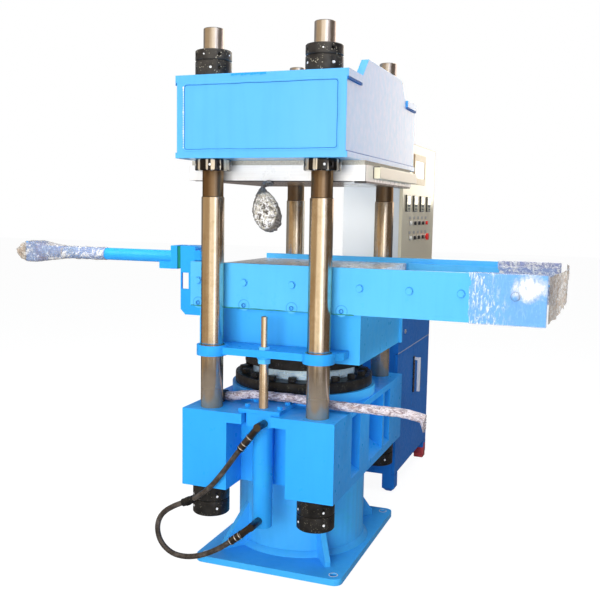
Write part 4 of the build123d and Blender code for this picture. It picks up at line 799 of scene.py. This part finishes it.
def hanging_hank():
    """The hank of leads in crumpled film under the upper platen, tied off at its neck."""
    half_width = 0.064
    half_depth = 0.027
    half_height = 0.089
    mesh = bmesh.new()
    bmesh.ops.create_icosphere(mesh, subdivisions=6, radius=1.0)
    for vertex in mesh.verts:
        x, y, z = vertex.co
        narrow = 1.0 - 0.20 * z - 0.08 * z * z
        shift = 0.002 - 0.018 * z
        vertex.co = hank_centre + Vector((x * half_width * narrow + shift, y * half_depth, z * half_height))
    crumple(mesh, 0.0034, 34.0, 3.1)
    crumple(mesh, 0.0016, 90.0, 8.4)
    hank = add_film("hank_of_leads", mesh, "hank_wrap", "press_frame")
    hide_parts("cable_bundle")
    line = centre_line([(-0.016, -0.505, 1.700), (-0.017, -0.503, 1.735), (-0.017, -0.490, 1.748),
                        (-0.017, -0.455, 1.756), (-0.017, -0.405, 1.757)])
    flare_share = 0.22

    def pulled(index, angle, point):
        share = index / (len(line) - 1)
        waist = 0.0125 - 0.0035 * math.sin(math.pi * min(1.0, share * 2.2))
        flare = 0.018 * max(0.0, flare_share - share) / flare_share
        return waist + flare + 0.0016 * math.sin(5 * angle + 9 * share)

    neck = tube_mesh(line, pulled, 32)
    crumple(neck, 0.0016, 70.0, 5.0)
    add_film("hank_neck", neck, "hank_wrap", "press_frame")


def rail_film():
    """Clear film round the outer ends of both rails, on their last bolts and over their ledges."""
    low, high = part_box("front_rail")
    for (side, name), finish in zip(both_sides, ("clear_film", "milky_film")):
        wound = rail_wrap(side, low.z - film_skin, high.z + film_skin, high.x + 0.002)
        add_film(f"{name}_rail_film", grid_sheet(110, 96, wound), finish)
    for side, name in both_sides:
        dome = bmesh.new()
        face_y = side * (rail_outer_y + 0.0024)
        place = Matrix.Translation((rail_bolt_last, face_y + side * 0.0060, rail_bolt_z))
        bmesh.ops.create_cone(dome, cap_ends=True, segments=36, radius1=0.0200, radius2=0.0150, depth=0.0125,
                              matrix=place @ Matrix.Rotation(math.radians(90 * -side), 4, "X"))
        ease_edges(dome, 0.0015, 2)
        add_film(f"{name}_bolt_film", dome, "clear_film")
    for side, name in both_sides:
        add_film(f"{name}_ledge_film", grid_sheet(90, 50, ledge_cover(side, high.x)), "milky_film")


def rail_wrap(side, low_z, high_z, end_x):
    """The shape of the film wound round one rail: along it with u, and once round it with v."""
    outer = side * rail_outer_y + side * film_skin
    inner = side * rail_inner_y - side * film_skin
    outline = [(outer, low_z), (outer, high_z), (inner, high_z), (inner, low_z)]
    outward = [(0.0, side, 0.0), (0.0, 0.0, 1.0), (0.0, -side, 0.0), (0.0, 0.0, -1.0)]
    wall = high_z - low_z
    edge = rail_outer_y - rail_inner_y + 2 * film_skin
    lengths = [wall, edge, wall, edge]

    def wound(u, v):
        along = v * sum(lengths)
        index = 0
        while index < 3 and along > lengths[index]:
            along -= lengths[index]
            index += 1
        share = min(1.0, along / lengths[index])
        first = outline[index]
        second = outline[(index + 1) % 4]
        y = first[0] + (second[0] - first[0]) * share
        z = first[1] + (second[1] - first[1]) * share
        ragged = 0.012 * drift(0.0, y * 9.0, z * 26.0)
        x = rail_film_start + ragged * (1.0 - u) + (end_x - rail_film_start) * u
        swell = 0.0016 * max(0.0, folded(Vector((x * 14.0, y * 14.0, z * 20.0))) - 0.6)
        return Vector((x, y, z)) + Vector(outward[index]) * swell

    return wound


def ledge_cover(side, end_x):
    """The shape of the loose film that hangs over the inner ledge of one rail."""
    ledge_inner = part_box("rear_rail")[0].y
    wall_y = 0.4275
    top = 1.404
    ledge_top = 1.377
    hang = 0.080
    first, second = 0.2, 0.6

    def over_ledge(u, v):
        ragged = 0.010 * (1 - u) * drift(0.0, v * 9.0, side)
        x = rail_film_start + 0.006 + (end_x - rail_film_start - 0.008) * u + ragged
        fold = folded(Vector((x * 18.0, v * 2.4, side)))
        if v < first:
            y, z = wall_y, top - (top - ledge_top - 0.004) * v / first
        elif v < second:
            share = (v - first) / (second - first)
            y, z = wall_y - (wall_y - ledge_inner + 0.003) * share, ledge_top + 0.003
        else:
            y, z = ledge_inner - 0.003, ledge_top + 0.003 - hang * (v - second) / (1 - second)
        return Vector((x, side * (y - 0.002 * fold), z + 0.003 * fold * (v < second)))

    return over_ledge


def rail_end_sheet():
    """The loose sheet of film across the open ends of the two rails."""
    width = 0.896

    def across(u, v):
        y = -width / 2 + width * u
        bottom = 1.215 + 0.020 * u + 0.012 * drift(y * 16.0, 0.4, 0.0)
        z = bottom + (1.400 + 0.003 * math.sin(9 * u) - bottom) * v
        bulge = 0.020 + 0.030 * math.sin(math.pi * u) ** 0.8 * (0.55 + 0.45 * v)
        fold = folded(Vector((y * 11.0, z * 15.0, 0.3)), 4) - 1.0
        return Vector((1.176 + bulge * u ** 0.5 + 0.009 * fold * math.sin(math.pi * u) ** 0.3, y, z))

    add_film("rail_end_sheet", grid_sheet(120, 70, across), "tan_film")


def pusher_film():
    """Film wound round the pusher tube, stretched over its end cap, with a twisted tail."""
    step = 0.0045
    line = [Vector((-1.140 - step * index, 0.0, pusher_axis_z)) for index in range(62)]

    def wound(index, angle, centre):
        spiral = math.sin(angle - centre.x * 60.0) + 0.5 * math.sin(2 * angle + centre.x * 110.0)
        fold = folded(Vector((centre.x * 22.0, math.cos(angle), math.sin(angle))))
        return pusher_film_radius + 0.0012 * spiral + 0.0022 * (fold - 0.7)

    add_film("pusher_tube_film", tube_mesh(line, wound, 48), "tube_film")
    cone_start = -1.405
    cap_left = -1.634
    cap_right = -1.572
    cap_half = 0.0565
    cap_corner = 0.076
    cone = [Vector((cone_start - step * index, 0.0, pusher_axis_z)) for index in range(53)]

    def stretched(index, angle, centre):
        over_cap = min(cap_half / max(abs(math.cos(angle)), abs(math.sin(angle))), cap_corner)
        share = min(1.0, max(0.0, (cone_start - centre.x) / (cone_start - cap_right)))
        radius = pusher_film_radius + 0.002 + (over_cap - pusher_film_radius - 0.002) * share ** 1.15
        fold = folded(Vector((centre.x * 20.0, 1.6 * math.cos(angle), 1.6 * math.sin(angle))), 4)
        closing = 1.0 if centre.x > cap_left else max(0.45, 1.0 - 45.0 * (cap_left - centre.x))
        return radius * closing + 0.0030 * (fold - 0.8)

    end = add_film("pusher_cap_film", tube_mesh(cone, stretched, 56), "tube_film")
    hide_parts("protective_film")
    last = 31
    tail = [Vector((cap_left - 0.002 - 0.0025 * index, 0.0, pusher_axis_z - 0.010 * (index / last) ** 1.3))
            for index in range(last + 1)]

    def twisted(index, angle, centre):
        share = index / last
        body = 0.050 * (1.0 - share) ** 0.35 + 0.012
        fold = folded(Vector((centre.x * 34.0, 2.2 * math.cos(angle), 2.2 * math.sin(angle))), 4)
        return max(0.006, 0.88 * body + 0.008 * (fold - 1.0) + 0.003 * math.sin(3 * angle + 14 * share))

    knot = tube_mesh(tail, twisted, 48)
    crumple(knot, 0.003, 60.0, 2.2)
    add_film("pusher_tail_film", knot, "tail_film")


def rounded_frame(half_x, low_z, high_z, radius, step):
    """Points round a rectangle with rounded corners, in X and Z."""
    corners = [(half_x - radius, low_z + radius, -90), (half_x - radius, high_z - radius, 0),
               (radius - half_x, high_z - radius, 90), (radius - half_x, low_z + radius, 180)]
    points = []
    for index, (x, z, start) in enumerate(corners):
        for turn in range(0, 91, 15):
            angle = math.radians(start + turn)
            points.append((x + radius * math.cos(angle), z + radius * math.sin(angle)))
        following = corners[(index + 1) % 4]
        angle = math.radians(following[2])
        target = (following[0] + radius * math.cos(angle), following[1] + radius * math.sin(angle))
        first = points[-1]
        count = int(math.dist(first, target) / step)
        points += [(first[0] + (target[0] - first[0]) * part / count,
                    first[1] + (target[1] - first[1]) * part / count) for part in range(1, count)]
    return points


def flat_bead(points, side, half_width, rise):
    """A low rippled bead that runs along a closed line of points on a plate facing Y."""
    mesh = bmesh.new()
    rows = []
    profile = ((-1.0, 0.0), (-0.6, 0.75), (0.0, 1.0), (0.6, 0.75), (1.0, 0.0))
    for index, centre in enumerate(points):
        along = points[(index + 1) % len(points)] - points[index - 1]
        along.y = 0.0
        along = along.normalized()
        across = Vector((-along.z, 0.0, along.x))
        ripple = 1.0 + 0.22 * math.sin(index * 1.9) + 0.25 * noise.noise(centre * 60.0)
        width = half_width * (1.0 + 0.2 * noise.noise(centre * 30.0))
        row = []
        for reach, lift in profile:
            raised = Vector((0, side * rise * lift * ripple, 0))
            row.append(mesh.verts.new(centre + across * width * reach + raised))
        rows.append(row)
    join_rows(mesh, rows + rows[:1])
    return mesh


def weld_beads():
    """The weld round each recessed end plate: a low bead, a dark edge of painted shade inside it and bright
    spots of painted highlight.
    """
    plate_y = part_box("crosshead")[1].y
    half_x = 0.348
    beads = [("weld", (half_x, 1.888, 2.166, 0.014), 0.0040, 0.0022, "head"),
             ("edge", (0.3435, 1.8925, 2.1615, 0.012), 0.0021, 0.0006, "painted_shade")]
    for side, name in both_sides:
        y = side * plate_y
        for part, outline, half_width, rise, finish in beads:
            points = []
            for x, z in rounded_frame(*outline, step=0.006):
                wander = 0.0018 * drift(x * 14.0, z * 14.0, side)
                points.append(Vector((x + wander, y + side * 0.0002, z + wander)))
            bead = flat_bead(points, side, half_width, rise)
            add_piece(f"{name}_end_plate_{part}", bead, "press_frame", finish)
        # Bright spots of painted highlight up one side of the weld
        spots = bmesh.new()
        for index in range(26):
            z = 1.900 + 0.0100 * index
            size = 0.0020 + 0.0022 * abs(drift(0.0, z * 90.0, side))
            place = Vector((side * half_x, y + side * 0.0022, z + 0.002 * drift(z * 50.0, 1.0, side)))
            flat = Matrix.Translation(place) @ Matrix.Diagonal((size, 0.0008, 1.6 * size, 1.0))
            bmesh.ops.create_icosphere(spots, subdivisions=2, radius=1.0, matrix=flat)
        add_piece(f"{name}_weld_glint_spots", spots, "press_frame", "glint")


def nut_pins():
    """Set screws in the tommy holes of the nuts, white as painted highlights; left and right nuts stand at
    their own angles.
    """
    rows = [("upper_nuts", 0.295, 0.0062, (-73, -41)), ("upper_nuts", 0.795, 0.0040, (-95, -75)),
            ("lower_nuts", 0.25, 0.0062, (-45, -45)), ("lower_nuts", 0.66, 0.0062, (-45, -47)),
            ("under_nuts", 0.5, 0.0062, (-74, -65))]
    for number, (node, level, size, turns) in enumerate(rows, 1):
        low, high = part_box(node)
        radius = high.x - column_x
        z = low.z + (high.z - low.z) * level
        mesh = bmesh.new()
        for x, start in zip((-column_x, column_x), turns):
            for y in (-column_y, column_y):
                for quarter in range(4):
                    angle = math.radians(start + 90 * quarter)
                    turn = Matrix.Rotation(angle, 4, "Z") @ Matrix.Rotation(math.radians(90), 4, "Y")
                    outward = Vector((math.cos(angle), math.sin(angle), 0))
                    place = Vector((x, y, z)) + outward * (radius - 0.0025)
                    bmesh.ops.create_cone(mesh, cap_ends=True, segments=20, radius1=size, radius2=0.8 * size,
                                          depth=0.006, matrix=Matrix.Translation(place) @ turn)
        add_piece(f"{node}_pins_{number}", mesh, "press_frame", "glint", smooth=False)


def bolt_rings():
    """Thin rings of painted shade round the rail bolts and the round screws, and in the screws' sockets."""
    low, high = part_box("rear_rail")
    half_width = 0.0016
    bolts = [(rail_bolt_start + index * rail_bolt_pitch, rail_bolt_z) for index in range(3)]
    bolts += [(rail_bolt_last - index * rail_bolt_short_pitch, rail_bolt_z) for index in range(4)]
    discs = [(rail_bolt_start + index * rail_bolt_pitch, disc_z) for index in range(4)]
    kinds = [("bolt", bolts, bolt_ring, 0.0, "painted_ring_shade"), ("disc", discs, disc_ring, 0.0, "painted_ring_shade"),
             ("socket", discs, socket_ring, 0.0062, "painted_shade")]
    for side, name in both_sides:
        for part, places, radius, lift, shade in kinds:
            mesh = bmesh.new()
            profile = ((radius - half_width, 0.0002), (radius, 0.0008), (radius + half_width, 0.0002))
            for x, z in places:
                add_rings(mesh, lambda right, up, rise: (x + right, side * (high.y + lift + rise), z + up),
                          profile, 40, low.z + 0.0005)
            add_piece(f"{name}_{part}_rings", mesh, "moving_platen", shade)


def red_chock():
    """The small red wedge beside the far front leg of the cabinet."""
    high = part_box("cabinet_lower")[1]
    mesh = bmesh.new()
    place = Vector((high.x - 0.024, high.y - 0.074, 0.045))
    add_block(mesh, place, (0.060, 0.070, 0.088))
    for vertex in mesh.verts:
        if vertex.co.z > 0.05 and vertex.co.y < place.y:
            vertex.co.z -= 0.06
    ease_edges(mesh, 0.002, 2)
    add_piece("red_chock", mesh, "press_frame", "red_wedge", smooth=False)


def head_seams():
    """Strips of painted shade under the lips of the roof, the stitched seam above the floor as dashes of
    painted shade, and a repair at the top edge.
    """
    low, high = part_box("crosshead")
    wall = high.x - 0.007
    roof = 2.172
    lips = []
    stitches = []
    for side in (-1, 1):
        for end in (-1, 1):
            near, far = sorted((end * (high.y - 0.0005), end * 0.405))
            inner, outer = sorted((side * wall, side * (wall + 0.0062)))
            lips.append(((inner, near, roof - 0.010), (outer, far, roof - 0.0005)))
        y = low.y + 0.004
        while y < high.y - 0.03:
            length = 0.030 + 0.022 * abs(drift(y * 31.0, side, 0.0))
            inner, outer = sorted((side * wall, side * (wall + 0.0018)))
            stitches.append(((inner, y, low.z + 0.0255), (outer, y + length, low.z + 0.0290)))
            y += length + 0.007
    # Both sets of strips are painted shade: under the roof lips and along the stitched seam
    add_boxes("roof_lip_shadows", lips, "press_frame", "painted_shade")
    add_boxes("floor_stitch_shades", stitches, "press_frame", "painted_shade")
    repair = []
    for index in range(11):
        x = -0.125 + 0.0145 * index
        repair.append(((x, low.y - 0.0016, 2.192 + 0.002 * (index % 3)), (x + 0.013, low.y, 2.2025)))
    add_boxes("roof_edge_repair", repair, "press_frame", "enamel")


def platen_edges():
    """Dark lines of painted shade at the corners of the upper platen and of the terminal cover and under the
    platen's front edge, and a lead tray below.
    """
    low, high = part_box("upper_platen")
    cover_low, cover_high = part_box("terminal_cover")
    face_y = cover_low.y - 0.0016
    lines = [((high.x - 0.0012, low.y - 0.0006, low.z), (high.x + 0.0008, low.y + 0.0018, high.z)),
             ((cover_low.x, face_y, cover_low.z), (cover_low.x + 0.0030, cover_low.y, cover_high.z)),
             ((cover_low.x, face_y, cover_high.z - 0.0025), (cover_high.x, cover_low.y, cover_high.z)),
             ((high.x - 0.055, low.y + 0.02, low.z - 0.0075), (high.x - 0.002, high.y - 0.02, low.z)),
             ((low.x + 0.03, low.y - 0.0006, low.z - 0.0035), (high.x - 0.06, low.y + 0.012, low.z))]
    # All but the fourth box are painted shade lines; the fourth is the lead tray
    add_boxes("platen_shade_lines_and_tray", lines, "press_frame", "bezel")


def cabinet_edges():
    """The seam over the lower doors, drawn as a pale line of painted light, and the folded edges of the
    upper door.
    """
    seam_low, seam_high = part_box("near_door")
    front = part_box("cabinet_lower")[1]
    seam = ((front.x - 0.0010, seam_low.y + 0.004, seam_high.z + 0.0008),
            (front.x + 0.0004, front.y - 0.004, seam_high.z + 0.0042))
    # The pale seam line is painted light
    add_boxes("cabinet_seam_light", [seam], "press_frame", "lever_white")
    low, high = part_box("upper_door")
    back = high.x - 0.0008
    corner = (high.x + 0.0006, high.y, high.z)
    edges = [((back, high.y - 0.0030, low.z + 0.006), corner),
             ((back, low.y + 0.004, high.z - 0.0032), corner)]
    add_boxes("upper_door_edges", edges, "upper_cabinet_door", "beige_plastic")


def anchor_rims():
    """Bright rims of painted highlight round the anchor holes of the base plate."""
    mesh = bmesh.new()
    profile = ((0.0172, 0.0002), (0.0188, 0.0010), (0.0208, 0.0002))
    for x in (-anchor_x, anchor_x):
        for y in (-anchor_y, anchor_y):
            add_rings(mesh, lambda right, back, rise: (x + right, y + back, anchor_top + rise), profile, 48)
    add_piece("anchor_rims", mesh, "press_frame", "glint")


def screen_glass():
    """The slightly domed glass of the operator screen."""
    low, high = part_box("operator_screen")
    glass_x = high.x - 0.003 + 0.0004
    middle = (low + high) / 2
    width = 0.253
    height = 0.100

    def domed(u, v):
        dome = 0.0006 * math.sin(math.pi * u) * math.sin(math.pi * v)
        return Vector((glass_x + dome, middle.y - width / 2 + width * u, middle.z - height / 2 + height * v))

    add_piece("screen_glass", grid_sheet(24, 12, domed), "upper_cabinet_door", "screen")


def controller_faces():
    """The pale face of each temperature controller, with its two display windows and four keys."""
    low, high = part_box("temperature_controllers")
    door = "upper_cabinet_door"
    margin = 0.048
    x = high.x + 0.0005
    z = (low.z + high.z) / 2
    for index in range(4):
        y = low.y + margin + (high.y - low.y - 2 * margin) / 3 * index
        face = bmesh.new()
        add_block(face, (x, y, z), (0.0016, 0.084, 0.084))
        ease_edges(face, 0.0006, 2)
        add_piece(f"controller_face_{index + 1}", face, door, "meter", smooth=False)
        parts = bmesh.new()
        for rise, tall in ((0.020, 0.026), (-0.010, 0.018)):
            add_block(parts, (x + 0.0012, y, z + rise), (0.001, 0.064, tall))
        for key in range(4):
            add_block(parts, (x + 0.0014, y - 0.024 + 0.016 * key, z - 0.032), (0.0016, 0.010, 0.007))
        ease_edges(parts, 0.0004, 1)
        add_piece(f"controller_windows_{index + 1}", parts, door, "window", smooth=False)


def sealant():
    """The green bead of sealant between the front rail and the block below it."""
    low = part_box("front_rail")[0]
    start_x = low.x + 0.004
    end_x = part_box("moving_block")[1].x - 0.020
    points = []
    steps = 90
    for index in range(steps + 1):
        x = start_x + (end_x - start_x) * (index / steps)
        points.append(Vector((x, low.y - 0.0005, low.z + 0.0012 * drift(x * 22.0, 0.0, 0.0))))
    mesh = tube_mesh(points, lambda index, angle, centre: 0.0021 + 0.0018 * noise.noise(centre * 31.0), 10)
    add_piece("rail_sealant", mesh, "moving_platen", "green_seal")


def softbox(name, place, target, size, power, colour=(1.0, 1.0, 1.0), spread=180):
    """A rectangular lamp that mirror rays don't see."""
    lamp = bpy.data.lights.new(name, "AREA")
    lamp.shape = "RECTANGLE"
    lamp.size, lamp.size_y = size
    lamp.energy = power
    lamp.color = colour
    lamp.spread = math.radians(spread)
    carrier = show(name, lamp)
    carrier.location = place
    carrier.rotation_euler = (Vector(target) - Vector(place)).to_track_quat("-Z", "Y").to_euler()
    carrier.visible_glossy = False


def staged(name, mesh):
    """A floor or a panel, which isn't part of the press, and the empty tree of its material."""
    made = show(name, mesh_data(name, mesh))
    material = bpy.data.materials.new(name)
    made.data.materials.append(material)
    return made, Nodes(material, empty=True)


def mirror_panel(name, start, end, low, high, colour):
    """A curved studio panel that only mirror rays see, between two azimuths round the press."""

    def bent(u, v):
        angle = math.radians(start + (end - start) * u)
        height = low + (high - low) * v
        return Vector((panel_radius * math.cos(angle), panel_radius * math.sin(angle), height))

    panel, tree = staged(name, grid_sheet(24, 1, bent))
    for kind in ("camera", "diffuse", "transmission", "volume_scatter", "shadow"):
        setattr(panel, f"visible_{kind}", False)
    tree.node("OutputMaterial", {"Surface": tree.light("Emission", colour, 1.0)})


def floor():
    """A pale floor that keeps the shadow, looks white to the camera and dull in mirrors."""
    mesh = bmesh.new()
    bmesh.ops.create_grid(mesh, x_segments=1, y_segments=1, size=floor_size)
    ground, tree = staged("floor", mesh)
    ground.location.z = -floor_drop
    rays = tree.node("LightPath").outputs
    seen = tree.maths("ADD", rays["Is Camera Ray"], rays["Is Transmission Ray"], clamp=True)
    plain = tree.node("BsdfDiffuse", {"Color": (floor_white, floor_white, floor_white)}).outputs["BSDF"]
    glow = tree.light("Emission", (1.0, 1.0, 1.0), floor_glow_level)
    lit = tree.mixed(tree.maths("MULTIPLY", seen, floor_glow), plain, glow)
    dull = tree.light("Emission", (0.17, 0.14, 0.12), 1.0)
    tree.node("OutputMaterial", {"Surface": tree.mixed(rays["Is Glossy Ray"], lit, dull)})


def surround():
    """A background that looks white and lights the press softly."""
    world = bpy.data.worlds.new("studio")
    bpy.context.scene.world = world
    tree = Nodes(world, empty=True)
    rays = tree.node("LightPath").outputs
    seen = tree.maths("ADD", rays["Is Camera Ray"], rays["Is Transmission Ray"], clamp=True)
    soft = tree.light("Background", (0.95, 0.97, 1.0), world_level)
    white = tree.light("Background", (1.0, 1.0, 1.0), 1.0)
    tree.node("OutputWorld", {"Surface": tree.mixed(seen, soft, white)})


def lamps():
    """Plain soft lamps, and the panels that the columns and coats mirror."""
    softbox("front_lamp", (0.2, -6.2, 1.6), (0.0, 0.0, 1.1), (3.6, 2.2), 262.0, (1.0, 0.99, 0.97))
    softbox("top_lamp", (0.2, -0.6, 5.4), (0.0, 0.0, 0.0), (4.0, 4.0), 195.0)
    softbox("side_lamp", (-1.7, -0.15, 2.0), (0.0, 0.81, 1.45), (0.9, 0.9), 4.2, spread=60)
    softbox("sheet_lamp", (3.1, 0.0, 1.85), (1.19, 0.0, 1.31), (0.3, 0.3), 1.0, spread=28)
    mirror_panel("brown_flag", -175, -104, 0.0, 5.0, (0.46, 0.32, 0.18))
    mirror_panel("tan_flag", -104, -68, 0.0, 5.0, (1.05, 0.86, 0.62))
    mirror_panel("cream_flag", -68, -59, 0.0, 5.0, (1.40, 1.24, 1.02))
    mirror_panel("white_strip", -59, -48, 0.0, 5.0, (2.1, 2.05, 2.05))
    mirror_panel("grey_flag", -48, -30, 0.0, 5.0, (0.62, 0.54, 0.50))
    mirror_panel("dark_flag", -30, 42, 0.0, 5.0, (0.11, 0.08, 0.055))
    mirror_panel("rear_flag", 42, 70, 0.0, 1.84, (0.06, 0.08, 0.12))
    mirror_panel("rear_panel", 48, 72, 1.845, 4.8, (1.85, 1.5, 1.35))
    mirror_panel("door_panel", 72, 100, 1.70, 4.8, (3.2, 3.0, 2.5))


def camera():
    """The photograph's own view."""
    level = Vector((math.sin(camera_yaw), math.cos(camera_yaw), 0.0))
    right = Vector((math.cos(camera_yaw), -math.sin(camera_yaw), 0.0))
    upward = Vector((0.0, 0.0, 1.0))
    forward = level * math.cos(camera_pitch) - upward * math.sin(camera_pitch)
    down = -upward * math.cos(camera_pitch) - level * math.sin(camera_pitch)
    rolled_right = right * math.cos(camera_roll) + down * math.sin(camera_roll)
    rolled_down = down * math.cos(camera_roll) - right * math.sin(camera_roll)
    turn = Matrix((rolled_right, -rolled_down, -forward)).transposed()
    lens = bpy.data.cameras.new("camera")
    lens.lens = camera_lens
    lens.sensor_width = camera_sensor
    view = show("camera", lens)
    view.matrix_world = Matrix.Translation(camera_place) @ turn.to_4x4()
    bpy.context.scene.camera = view


finish_nodes()
pressure_hose()
wrapped_line()
hanging_hank()
rail_film()
rail_end_sheet()
pusher_film()
weld_beads()
nut_pins()
bolt_rings()
red_chock()
head_seams()
platen_edges()
cabinet_edges()
anchor_rims()
screen_glass()
controller_faces()
sealant()
floor()
surround()
lamps()
camera()
bpy.context.scene.view_settings.view_transform = "Standard"
